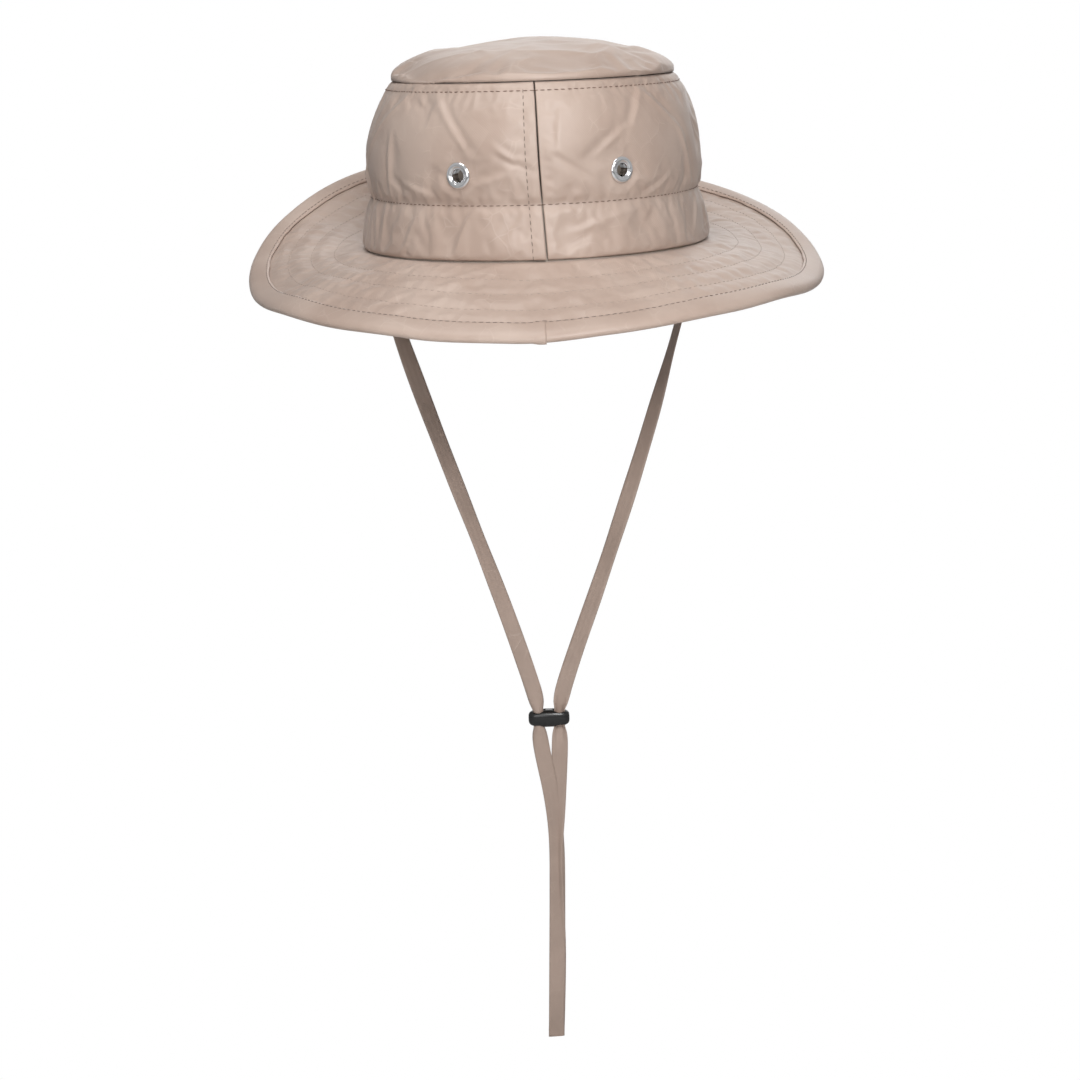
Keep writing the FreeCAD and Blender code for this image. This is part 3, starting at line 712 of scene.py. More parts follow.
# ------------------------------------------------------------------ chin strap
def smooth_route(name, route, offset):
    """Points along the NURBS line through the route's control points."""
    data = bpy.data.curves.new(name, "CURVE")
    data.dimensions = "3D"
    data.resolution_u = 10
    spline = data.splines.new("NURBS")
    spline.points.add(len(route) - 1)
    for point, (across, height) in zip(spline.points, route):
        point.co = (across, offset, height, 1.0)
    spline.order_u = 3
    spline.use_endpoint_u = True
    line = bpy.data.objects.new(name, data)
    bpy.context.collection.objects.link(line)
    mesh = bpy.data.meshes.new_from_object(line)
    points = np.array([vertex.co for vertex in mesh.vertices])
    bpy.data.meshes.remove(mesh)
    bpy.data.objects.remove(line)
    lengths = np.concatenate([[0], np.cumsum(np.linalg.norm(np.diff(points, axis=0), axis=1))])
    even = np.linspace(0, lengths[-1], int(lengths[-1] / 0.0016))
    return np.stack([np.interp(even, lengths, points[:, axis]) for axis in range(3)], axis=-1)


def tape_mesh(name, path, twist, curl):
    """A flat closed tape along a path; twist turns its face, curl rolls it up across its width."""
    s = sizes()
    tangents = np.gradient(path, axis=0)
    tangents /= np.linalg.norm(tangents, axis=1, keepdims=True)
    side = np.cross([0, 1, 0], tangents)
    side /= np.linalg.norm(side, axis=1, keepdims=True)
    forward = np.cross(tangents, side)
    wide = side * np.sin(twist)[:, None] + forward * np.cos(twist)[:, None]
    thin = np.cross(tangents, wide)
    columns = 15
    across = np.linspace(-0.5, 0.5, columns)
    curl = np.maximum(curl, 0.02)
    radius = s.strap_width / curl
    angle = curl[:, None] * across[None, :]
    lateral = radius[:, None] * np.sin(angle)
    deep = radius[:, None] * (np.cos(angle) - np.cos(curl / 2)[:, None] * 0.5 - 0.5)
    edge = 1 - np.abs(across * 2) ** 8 * 0.55
    fold = 0.08 * np.cos(across * math.pi * 6)
    half = s.strap_thickness / 2 * (edge + fold)
    rows = []
    for sign in (1, -1):
        order = slice(None) if sign > 0 else slice(None, None, -1)
        normal_out = np.cos(angle)[..., None] * thin[:, None] + np.sin(angle)[..., None] * wide[:, None]
        sheet = (path[:, None] + lateral[..., None] * wide[:, None] + deep[..., None] * thin[:, None]
                 + normal_out * (sign * half)[None, :, None])
        rows.append(sheet[:, order])
    loop = np.concatenate(rows, axis=1)
    obj = grid_object(name, loop, wrap=True, uv=cloth_uv(loop, True))
    shape = bmesh.new()
    shape.from_mesh(obj.data)
    shape.verts.ensure_lookup_table()
    for row in (0, len(path) - 1):
        ring = [shape.verts[row * columns * 2 + column] for column in range(columns * 2)]
        for column in range(columns - 1):
            shape.faces.new((ring[column], ring[column + 1], ring[-column - 2], ring[-column - 1]))
    bmesh.ops.recalc_face_normals(shape, faces=shape.faces)
    shape.to_mesh(obj.data)
    shape.free()
    return obj


def build_strap(side, route, offset, twist_stations, seed):
    """One tape: its upper length and its tail under the toggle."""
    toggle_low, toggle_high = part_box("strap_toggle")
    middle = (toggle_low.z + toggle_high.z) / 2
    path = smooth_route(f"{side}_route", route, offset)
    height = path[:, 2]
    depth = -height
    twist = through(twist_stations, depth)
    near = np.exp(-((height - middle) / 0.0105) ** 2)
    squeeze = np.clip(1 - np.abs(height - middle) / 0.0075, 0, 1)
    curl = 0.12 + 3.3 * np.clip(near + 0.35 * ease(squeeze * 2), 0, 1)
    wave = 0.10 * np.sin(depth * 46 + seed) + 0.05 * np.sin(depth * 121 + seed * 2)
    twist = twist + wave * (1 - near) * ease(depth / 0.05)
    pieces = []
    for label, keep in (("_upper", height >= middle), ("_tail", height <= middle)):
        index = np.nonzero(keep)[0]
        piece = tape_mesh(f"chin_strap_{side}{label}", path[index], twist[index], curl[index])
        piece.data.materials.append(MATERIALS["strap tape"]())
        pieces.append((piece, path[index]))
    (upper, upper_path), (tail, tail_path) = pieces
    top, knot, end = upper_path[0], upper_path[-1], tail_path[-1]
    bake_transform(upper)
    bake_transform(tail)
    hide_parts(f"chin_strap_{side}")
    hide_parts(f"chin_strap_{side}")
    path_length(upper_path)
    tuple(top)
    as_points(upper_path)
    path_length(tail_path)
    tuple(knot)
    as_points(tail_path)


def path_length(path):
    """Length along a list of points."""
    return float(np.linalg.norm(np.diff(path, axis=0), axis=1).sum())


# Focal length in millimetres, downward tilt and roll in radians, and place of the camera.
LENS = 85.75
TILT, ROLL = 0.2066, 0.0347
CAMERA_PLACE = (-0.0033, -1.3, 0.1186)
# Name, place, watts and side length of the soft lights.
SOFTBOXES = (("key_softbox", (0.40, -1.7, 0.9), 24.5, 0.7), ("fill_softbox", (-0.5, -1.7, 0.3), 6, 0.8),
             ("top_softbox", (-0.3, -0.4, 1.5), 10, 0.8), ("back_softbox", (0.3, 1.6, 0.6), 7, 1.2))
# Light of the surround for the cloth, and how much of its paleness shiny things show.
SURROUND_LIGHT, SURROUND_SHINE = 0.09, 0.45


class HAT_OT_stage(bpy.types.Operator):
    """Make the pale studio, its lights and the camera"""
    bl_idname = "hat.stage"
    bl_label = "Studio and camera"

    def execute(self, context):
        scene = context.scene
        scene.view_settings.view_transform = "Standard"
        data = bpy.data.cameras.new("studio_camera")
        data.sensor_width = 36
        data.lens = LENS
        data.clip_end = 30
        camera = bpy.data.objects.new("studio_camera", data)
        scene.collection.objects.link(camera)
        look = Vector((0, math.cos(TILT), -math.sin(TILT)))
        level, upright = Vector((1, 0, 0)), Vector((0, math.sin(TILT), math.cos(TILT)))
        right = level * math.cos(ROLL) - upright * math.sin(ROLL)
        above = level * math.sin(ROLL) + upright * math.cos(ROLL)
        turn = Matrix((right, above, -look)).transposed().to_4x4()
        camera.matrix_world = Matrix.Translation(CAMERA_PLACE) @ turn
        scene.camera = camera
        for softbox in SOFTBOXES:
            self.light(*softbox)
        self.floor()
        self.surround(scene)
        return {"FINISHED"}

    @staticmethod
    def light(name, place, watts, side):
        """A square soft light aimed at the hat."""
        data = bpy.data.lights.new(name, "AREA")
        data.energy = watts
        data.size = side
        obj = bpy.data.objects.new(name, data)
        obj.location = place
        aim = Vector((0, 0, 0.02)) - Vector(place)
        obj.rotation_euler = aim.to_track_quat("-Z", "Y").to_euler()
        bpy.context.scene.collection.objects.link(obj)

    @staticmethod
    def floor():
        """A floor that curves up into a backdrop."""
        level = CAD_BOX[0].z - 0.004
        bend = [(-3.0, 0.0), (1.6, 0.0), (2.2, 0.08), (2.7, 0.32), (3.0, 0.8), (3.1, 1.6), (3.1, 3.5)]
        points = np.array([[(x, y, level + z) for x in (-3.5, 0.0, 3.5)] for y, z in bend])
        obj = grid_object("studio_floor", points)
        rounding = obj.modifiers.new("Rounding", "SUBSURF")
        rounding.levels = 3
        rounding.render_levels = 3
        material, tree = blank_material("studio_floor")
        path = tree.add("ShaderNodeLightPath")
        side = tree.add("ShaderNodeNewGeometry")
        matte = tree.add("ShaderNodeBsdfDiffuse", None, Color=(*colours().floor, 1))
        pale = tree.add("ShaderNodeEmission", None, Color=(1, 1, 1, 1), Strength=1.0)
        seen = tree.add("ShaderNodeMixShader", None, i0=path.outputs["Is Camera Ray"],
                        i1=matte.outputs[0], i2=pale.outputs[0])
        clear = tree.add("ShaderNodeBsdfTransparent")
        either = tree.add("ShaderNodeMixShader", None, i0=side.outputs["Backfacing"],
                          i1=seen.outputs[0], i2=clear.outputs[0])
        tree.add("ShaderNodeOutputMaterial", None, Surface=either.outputs[0])
        obj.data.materials.append(material)

    @staticmethod
    def surround(scene):
        """A surround that looks pale and lights the hat softly."""
        world = bpy.data.worlds.new("studio_surround")
        world.use_nodes = True
        world.node_tree.nodes.clear()
        tree = Tree(world.node_tree)
        path = tree.add("ShaderNodeLightPath")
        shiny = tree.maths("MULTIPLY", path.outputs["Is Glossy Ray"], SURROUND_SHINE)
        seen = tree.maths("MAXIMUM", path.outputs["Is Camera Ray"], shiny)
        strength = tree.remap(seen, 0.0, 1.0, SURROUND_LIGHT, 1.0)
        glow = tree.add("ShaderNodeBackground", None, Color=(1, 1, 1, 1), Strength=strength)
        tree.add("ShaderNodeOutputWorld", None, Surface=glow.outputs[0])
        scene.world = world


class HAT_OT_toggle(bpy.types.Operator):
    """Make the moulded toggle with its two through holes"""
    bl_idname = "hat.toggle"
    bl_label = "Toggle"

    def execute(self, context):
        low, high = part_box("strap_toggle")
        centre, half = (low + high) / 2, (high - low) / 2
        turns = np.linspace(0, 2 * math.pi, 72, endpoint=False)
        rises = np.linspace(-math.pi / 2, math.pi / 2, 37)[:, None]

        def power(value, exponent):
            return np.sign(value) * np.abs(value) ** exponent

        points = np.stack([
            half.x * power(np.sin(rises), 0.72) + 0 * turns,
            half.y * power(np.cos(rises), 0.5) * power(np.cos(turns), 0.72),
            half.z * power(np.cos(rises), 0.5) * power(np.sin(turns), 0.72)], axis=-1)
        bean = grid_object("toggle_bean", points, wrap=True)
        close_solid(bean, Matrix.Translation(centre))
        hole, mouth = 0.00295, 0.0036
        outline = [(0.00001, -0.008), (mouth + 0.003, -0.008), (mouth, -half.z * 0.96), (hole, -half.z * 0.6),
                   (hole, half.z * 0.6), (mouth, half.z * 0.96), (mouth + 0.003, 0.008), (0.00001, 0.008)]
        drills = []
        for side in (-1, 1):
            place = Matrix.Translation(centre + Vector((side * 0.0054, 0, 0)))
            drills.append(lathe(f"drill_{side}", outline, place, 40))
        for drill in drills:
            cut = bean.modifiers.new("Hole", "BOOLEAN")
            cut.object = drill
            cut.operation = "DIFFERENCE"
            cut.solver = "EXACT"
        melt = bean.modifiers.new("Moulding", "REMESH")
        melt.mode = "VOXEL"
        melt.voxel_size = 0.00028
        melt.use_smooth_shade = True
        soften = bean.modifiers.new("Softening", "SMOOTH")
        soften.iterations = 4
        graph = context.evaluated_depsgraph_get()
        mesh = bpy.data.meshes.new_from_object(bean.evaluated_get(graph), depsgraph=graph)
        bean.modifiers.clear()
        bean.data = mesh
        for drill in drills:
            bpy.data.objects.remove(drill)
        mesh.polygons.foreach_set("use_smooth", [True] * len(mesh.polygons))
        settle_piece(bean, "toggle", "plastic", "toggle_plastic", "strap_toggle")
        return {"FINISHED"}


class HAT_OT_chin_strap(bpy.types.Operator):
    """Make the two tapes of the chin strap along their routes"""
    bl_idname = "hat.chin_strap"
    bl_label = "Chin strap"

    def execute(self, context):
        # (depth below the seam, turn of the tape's face in radians)
        left = [(-0.02, 0.0), (0.006, -0.05), (0.045, -0.95), (0.10, -1.05), (0.18, -1.12), (0.235, -1.5),
                (0.262, -1.55), (0.295, -1.35), (0.33, -1.2), (0.38, -1.5), (0.44, -1.57)]
        right = [(-0.02, 0.0), (0.006, 0.02), (0.05, 0.45), (0.09, 0.78), (0.16, 0.98), (0.235, 1.45),
                 (0.262, 1.55), (0.30, 1.25), (0.33, 0.9), (0.37, 1.35), (0.44, 1.57)]
        build_strap("left", LEFT_ROUTE, -0.0006, left, 1)
        build_strap("right", RIGHT_ROUTE, 0.0006, right, 2)
        return {"FINISHED"}


# ------------------------------------------------------------------ crown
WALL_ROWS = 53
PANEL_COLUMNS = 168
LAP_ROW = 0.0062        # the lapped seam's stitches, from the panel's edge
TOP_ROW_DROP = 0.0043   # the upper stitch row, below the top seam
SEAM_RADIUS = 0.09      # turns an angle near the lapped seams into a length
WALL_RADIUS = 0.094     # turns an angle round the wall into a length
EYELET_CUT = 0.0036     # radius of the panel's hole for an eyelet
EYELET_HOLD = 0.0072    # radius of the cloth that an eyelet holds still
LINING_CUT = 0.0058     # radius of the lining's hole behind an eyelet
GATHER_RISE = 0.0009


def eyelet_spots():
    """Centre and outward direction of each eyelet, from its CAD node."""
    spots = []
    for side in ("front_left", "front_right", "back_left", "back_right"):
        low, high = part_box(f"eyelet_{side}")
        centre = (low + high) / 2
        half = wall_half(centre.z)
        out = Vector((centre.x / half ** 2, centre.y / (half + sizes().lengthening) ** 2, 0)).normalized()
        around = math.atan2(centre.y / (half + sizes().lengthening), centre.x / half)
        face = Vector(oval_point(np.array(around), half, centre.z))
        spots.append((side, face, out))
    return spots


def fold_lift(along, height, folds):
    """Rise of the cloth over sharp folds: (place along, height, tilt, length, rise, width)."""
    lift = np.zeros(np.broadcast(along, height).shape)
    for middle, level, tilt, length, rise, width in folds:
        run = (along - middle) * math.cos(tilt) + (height - level) * math.sin(tilt)
        off = (height - level) * math.cos(tilt) - (along - middle) * math.sin(tilt)
        reach = ease(1.25 - np.abs(run) / (length * 0.5))
        bend = off + 0.0012 * np.sin(run * 90 + middle * 300)
        lift += rise * reach * np.exp(-np.abs(bend) / width)
        lift -= rise * 0.35 * reach * np.exp(-((bend - 2.4 * width) / (1.6 * width)) ** 2)
    return lift


def chance_folds(seed, count, along, height, length, rise, width=0.0016):
    """Folds at random within the given (low, high) ranges, the same each time."""
    chance = np.random.default_rng(seed)
    folds = []
    for _ in range(count):
        folds.append((chance.uniform(*along), chance.uniform(*height), chance.uniform(-1.3, 1.3),
                      chance.uniform(*length), chance.uniform(*rise) * chance.choice((1, 1, -0.6)),
                      width * chance.uniform(0.8, 2.2)))
    return folds


# Folds of the crown's front: angle from the seam in degrees, height, tilt in degrees,
# length, rise and width in millimetres.
FRONT_FOLDS = {
    "left": [(-31, 64, -52, 42, 0.9, 2.0), (-66, 60, 40, 62, 1.3, 2.4), (-58, 42, 82, 30, 1.0, 1.8),
             (-7, 45, -24, 22, -1.0, 1.4), (-10, 50, -34, 18, 0.8, 1.4), (-17, 36, 12, 26, 0.7, 1.6),
             (-44, 33, -20, 26, 0.7, 1.5), (-26, 14, 70, 22, 0.7, 1.8), (-48, 12, 62, 22, 0.6, 1.6),
             (-20, 70, 8, 38, 0.6, 3.0), (-80, 34, -60, 34, 1.1, 2.2), (-46, 76, -40, 22, 0.7, 1.6)],
    "right": [(51, 64, -34, 46, 1.2, 2.2), (38, 68, 56, 26, 0.8, 1.8), (12, 42, -26, 26, -0.9, 1.5),
              (20, 17, 9, 46, 0.8, 2.0), (60, 44, -66, 34, 1.1, 2.2), (42, 31, 22, 28, 0.8, 1.6),
              (25, 53, 38, 24, 0.7, 1.8), (34, 34, -12, 18, 0.7, 1.4), (66, 16, 50, 26, 0.7, 1.8),
              (22, 74, -4, 32, 0.5, 2.6), (74, 62, -50, 40, 1.0, 2.2), (8, 60, 80, 22, 0.4, 2.0)]}


# The cloth draws the folds higher and narrower than they were set out.
FOLD_RISE, FOLD_WIDTH = 1.5, 0.7


def panel_folds(side, sign):
    """All folds of one side panel: the front's listed, the rest by chance."""
    folds = [(math.radians(angle) * WALL_RADIUS, level * MM, math.radians(tilt), length * MM,
              FOLD_RISE * rise * MM, FOLD_WIDTH * width * MM)
             for angle, level, tilt, length, rise, width in FRONT_FOLDS[side]]
    reach = sorted((sign * 0.13, sign * 0.29))
    folds += chance_folds(61 + sign, 20, reach, (0.004, 0.080), (0.016, 0.050), (0.0005, 0.0012))
    folds += chance_folds(71 + sign, 16, sorted((sign * 0.005, sign * 0.28)), (0.024, 0.036),
                          (0.008, 0.020), (0.0004, 0.0008), 0.0012)
    return folds


def near_eyelet(points, radius):
    """Which points lie within a radius of an eyelet's centre."""
    close = np.zeros(points.shape[:-1], dtype=bool)
    for _, centre, _ in eyelet_spots():
        close |= np.linalg.norm(points - np.array(centre), axis=-1) < radius
    return close


def wall_heights(rows):
    """Heights of the wall's rows, with the stitch rows among them."""
    s = sizes()
    heights = np.linspace(0.0009, s.seam_height - 0.0004, rows)
    for row_height in (s.band_height, s.seam_height - TOP_ROW_DROP):
        heights[np.argmin(np.abs(heights - row_height))] = row_height
    return heights


def sewn_pull(points_height):
    """How far the stitch rows and seams pull the wall in, by height."""
    s = sizes()
    pull = 0.0013 * np.exp(-((points_height - s.band_height) / 0.0022) ** 2)
    pull += 0.0016 * np.exp(-((points_height - s.seam_height) / 0.0016) ** 2)
    pull += 0.0006 * np.exp(-((points_height - s.seam_height + TOP_ROW_DROP) / 0.0012) ** 2)
    pull += 0.0008 * np.exp(-(points_height / 0.0015) ** 2)
    return pull


def build_side_panel(side, sign, seed):
    """One side panel: sewn along its edges and rows, loose between them."""
    s = sizes()
    heights = wall_heights(WALL_ROWS)
    share = np.linspace(0, 1, PANEL_COLUMNS)
    gap = 0.0 if sign < 0 else 0.010
    angle = sign * (gap + share * (math.pi - 2 * gap))
    grid_angle, grid_height = np.meshgrid(angle, heights)
    base = wall_point(grid_angle, grid_height, sewn_pull(grid_height))
    inner = wall_point(grid_angle, grid_height, sewn_pull(grid_height) + 0.001)
    out = (base - inner) / 0.001
    out /= np.linalg.norm(out, axis=-1, keepdims=True)
    waves = noise_at(base, 19.0, seed) * 0.0018 + noise_at(base, 45.0, seed + 5) * 0.0004
    gathers = noise_at(np.stack([grid_angle * 0.9, grid_height * 9, 0 * grid_angle], axis=-1), 34.0, seed + 9)
    beside = (np.exp(-(np.abs(grid_height - s.band_height) / 0.006))
              + np.exp(-(np.abs(grid_height - s.seam_height + 0.003) / 0.007)))
    edges = np.minimum(share, 1 - share)[None, :] * math.pi * SEAM_RADIUS
    fixed_rows = np.minimum(np.abs(grid_height - s.band_height), np.minimum(
        np.abs(grid_height - s.seam_height), grid_height))
    loose = ease(fixed_rows / 0.008) * ease(edges / 0.012)
    lift = waves * loose + gathers * GATHER_RISE * beside * ease(fixed_rows / 0.002)
    folded = fold_lift(grid_angle * WALL_RADIUS, grid_height, panel_folds(side, sign))
    round_eyelet = np.ones(grid_height.shape)
    for _, centre, _ in eyelet_spots():
        away = np.linalg.norm(base - np.array(centre), axis=-1)
        round_eyelet *= ease((away - 0.0055) / 0.006)
    seams = np.minimum(s.seam_height - grid_height, grid_height)
    lift = lift * round_eyelet + folded * ease(seams / 0.004) * ease(edges / 0.004) * round_eyelet
    if sign < 0:
        lift = lift + 0.0012 * np.exp(-((share[None, :] * 290) / 7.0) ** 2)
    points = base + out * lift[..., None]
    obj = grid_object(f"crown_panel_{side}", points, uv=cloth_uv(points, False))
    flat = points.reshape(-1, 3)
    rows = np.isin(grid_height, [s.band_height, s.seam_height - TOP_ROW_DROP]).ravel()
    ends = np.zeros(grid_height.shape, dtype=bool)
    ends[[0, -1]] = True
    ends[:, [0, 1, -2, -1]] = True
    if sign < 0:
        lap = np.argmin(np.abs(edges[0, :PANEL_COLUMNS // 2] - LAP_ROW))
        ends[:, [lap, -lap - 1]] = True
    pinned = rows | ends.ravel() | near_eyelet(flat, EYELET_HOLD)
    drape(obj, pinned, 0.020, 0.8, 0.0022, 3.0, outward=out.reshape(-1, 3))
    shape = bmesh.new()
    shape.from_mesh(obj.data)
    cut = near_eyelet(coordinates(obj), EYELET_CUT)
    hole = [vertex for vertex, inside in zip(shape.verts, cut) if inside]
    bmesh.ops.delete(shape, geom=hole, context="VERTS")
    shape.to_mesh(obj.data)
    shape.free()
    if sign < 0:
        turn_over(obj)
    thicken(obj, s.cloth)
    settle_piece(obj, "hat", "crinkled nylon", "shell_cloth", f"crown_side_{side}")


def dome_point(across, along, inset=0.0):
    """Points of the domed top over the unit disc, across and along from -1 to 1."""
    s = sizes()
    half = s.seam_half - inset
    radius = np.clip(np.hypot(across, along), 0, 1)
    rise = (s.dome_rise - inset + 0.0003) * np.clip(1 - radius ** 2.6, 0, 1) ** 0.55
    height = s.seam_height + rise
    return np.stack([across * half + s.lean, along * (half + s.lengthening), height], axis=-1)


def disc_grid(count):
    """A square grid bent onto the unit disc, with no pole."""
    line = np.sin(np.linspace(-math.pi / 2, math.pi / 2, count) * 0.999) / math.sin(math.pi / 2 * 0.999)
    line = 0.5 * line + 0.5 * np.linspace(-1, 1, count)
    first, second = np.meshgrid(line, line)
    return (first * np.sqrt(1 - second ** 2 / 2), second * np.sqrt(1 - first ** 2 / 2))


class HAT_OT_crown(bpy.types.Operator):
    """Make the two side panels and the domed top panel"""
    bl_idname = "hat.crown"
    bl_label = "Crown"

    def execute(self, context):
        build_side_panel("left", -1, 3)
        build_side_panel("right", 1, 4)
        self.top()
        return {"FINISHED"}

    @staticmethod
    def top():
        """The oval top panel, puckered along its seam."""
        s = sizes()
        count = 84
        across, along = disc_grid(count)
        radius = np.hypot(across, along)
        base = dome_point(across, along, 0.0006)
        waves = noise_at(base, 17.0, 21) * 0.0020 + noise_at(base, 45.0, 22) * 0.0004
        around = np.arctan2(along, across)
        gathers = noise_at(np.stack([np.cos(around) * 2.4, np.sin(around) * 2.4, radius], axis=-1), 5.0, 23)
        seam = np.exp(-(1 - radius) / 0.07)
        normal = np.stack([across * 0.35, along * 0.35, np.ones_like(across)], axis=-1)
        normal /= np.linalg.norm(normal, axis=-1, keepdims=True)
        loose = ease((1 - radius) / 0.05)
        folds = chance_folds(81, 26, (-0.08, 0.08), (-0.10, 0.10), (0.025, 0.070), (0.0005, 0.0013), 0.0022)
        folded = fold_lift(across * s.seam_half, along * (s.seam_half + s.lengthening), folds)
        lift = (waves + folded) * loose + gathers * GATHER_RISE * seam * loose
        points = base + normal * lift[..., None]
        obj = grid_object("crown_top_panel", points, uv=cloth_uv(points, False))
        rim = np.zeros(radius.shape, dtype=bool)
        rim[[0, -1]] = True
        rim[:, [0, -1]] = True
        drape(obj, rim.ravel(), 0.016, 0.4, 0.0022, 3.0)
        thicken(obj, s.cloth)
        settle_piece(obj, "hat", "crinkled nylon", "shell_cloth", "crown_top")


class HAT_OT_lining(bpy.types.Operator):
    """Make the lining, the seam tape and the sweatband inside the crown"""
    bl_idname = "hat.lining"
    bl_label = "Lining and sweatband"

    def execute(self, context):
        s = sizes()
        angle = np.linspace(-math.pi, math.pi, 180, endpoint=False)
        heights = np.linspace(-0.0026, s.seam_height - 0.0012, 36)
        grid_angle, grid_height = np.meshgrid(angle, heights)
        inset = 0.0018 + 0.0026 * ease((grid_height - s.band_height) / 0.01)
        points = wall_point(grid_angle, grid_height, inset)
        folds = noise_at(points, 40.0, 31)
        points = wall_point(grid_angle, grid_height, inset + (folds + 0.6) * 0.0008
                            * ease((grid_height - s.band_height) / 0.012))
        side = grid_object("lining_wall", points, wrap=True, uv=cloth_uv(points, True),
                           skip=near_eyelet(points, LINING_CUT).ravel())
        thicken(side, 0.0004, 0)
        settle_piece(side, "hat", "lining", "lining_cloth", "lining_side")
        across, along = disc_grid(40)
        dome = dome_point(across, along, 0.0045)
        dome[..., 2] -= 0.0012 + noise_at(dome, 30.0, 33) * 0.0008
        top = grid_object("lining_dome", dome, uv=cloth_uv(dome, False))
        thicken(top, 0.0004)
        settle_piece(top, "hat", "lining", "lining_cloth", "lining_top")
        self.band(angle)
        self.tape(angle)
        return {"FINISHED"}

    @staticmethod
    def band(angle):
        """The sweatband: a cotton band with folded edges."""
        s = sizes()
        outline = [(0.0012, 0.0019), (0.0006, 0.0025), (0.0012, 0.0032), (0.006, 0.0030), (0.013, 0.0029),
                   (0.021, 0.0030), (s.band_height - 0.0006, 0.0033), (s.band_height + 0.0002, 0.0027),
                   (s.band_height - 0.0004, 0.0020), (0.013, 0.0020), (0.0012, 0.0019)]
        rows = [wall_point(angle, height + 0 * angle, inset) for height, inset in outline]
        points = np.array(rows)
        obj = grid_object("sweatband_band", points, wrap=True, uv=cloth_uv(points, True))
        settle_piece(obj, "hat", "sweatband", "band_cloth", "sweatband")

    @staticmethod
    def tape(angle):
        """The tape over the raw edges inside the top seam."""
        s = sizes()
        outline = [(s.seam_height - 0.0045, 0.0062), (s.seam_height - 0.0047, 0.0070),
                   (s.seam_height - 0.0025, 0.0074), (s.seam_height - 0.0002, 0.0072),
                   (s.seam_height - 0.0002, 0.0062), (s.seam_height - 0.0045, 0.0062)]
        points = np.array([wall_point(angle, height + 0 * angle, inset) for height, inset in outline])
        obj = grid_object("top_seam_binding", points, wrap=True, uv=cloth_uv(points, True))
        settle_piece(obj, "hat", "sweatband", "band_cloth", "top_seam_tape")


# ------------------------------------------------------------------ brim
BRIM_ROWS = 27
BRIM_COLUMNS = 460
STITCH_RINGS = (0.0150, 0.0270, 0.0390)


def brim_waves(points):
    """The soft waves that all the layers of the brim share."""
    return noise_at(points, 22.0, 41) * 0.0014


def brim_grid(rows, lift):
    """A brim layer's grid with soft waves between its stitched rings."""
    s = sizes()
    angle = np.linspace(0, 2 * math.pi, BRIM_COLUMNS, endpoint=False)
    across = np.linspace(-0.003, s.brim_width, rows)
    for ring in (*STITCH_RINGS, s.brim_width - s.binding_width):
        across[np.argmin(np.abs(across - ring))] = ring
    grid_angle, grid_across = np.meshgrid(angle, across)
    base = brim_point(grid_angle, grid_across, lift)
    rings = np.array([0.0, *STITCH_RINGS, s.brim_width - s.binding_width])
    nearest = np.min(np.abs(grid_across[..., None] - rings), axis=-1)
    loose = ease(nearest / 0.005)
    waves = brim_waves(base - np.array([0, 0, lift])) * ease(grid_across / 0.02)
    ripples = noise_at(np.stack([np.cos(grid_angle) * 3, np.sin(grid_angle) * 3,
                                 grid_across * 14], axis=-1), 7.0, 44)
    folded = fold_lift(grid_angle * 0.12, grid_across, chance_folds(
        91, 120, (0, 0.754), (0.004, s.brim_width - 0.012), (0.012, 0.040), (0.0003, 0.0008), 0.0014))
    lift_more = waves + ripples * 0.0004 * (0.25 + 0.75 * loose) + folded
    lift_more = lift_more - 0.00035 * (1 - loose)
    base[..., 2] += lift_more * ease((grid_across - 0.0005) / 0.004)
    return base, grid_across


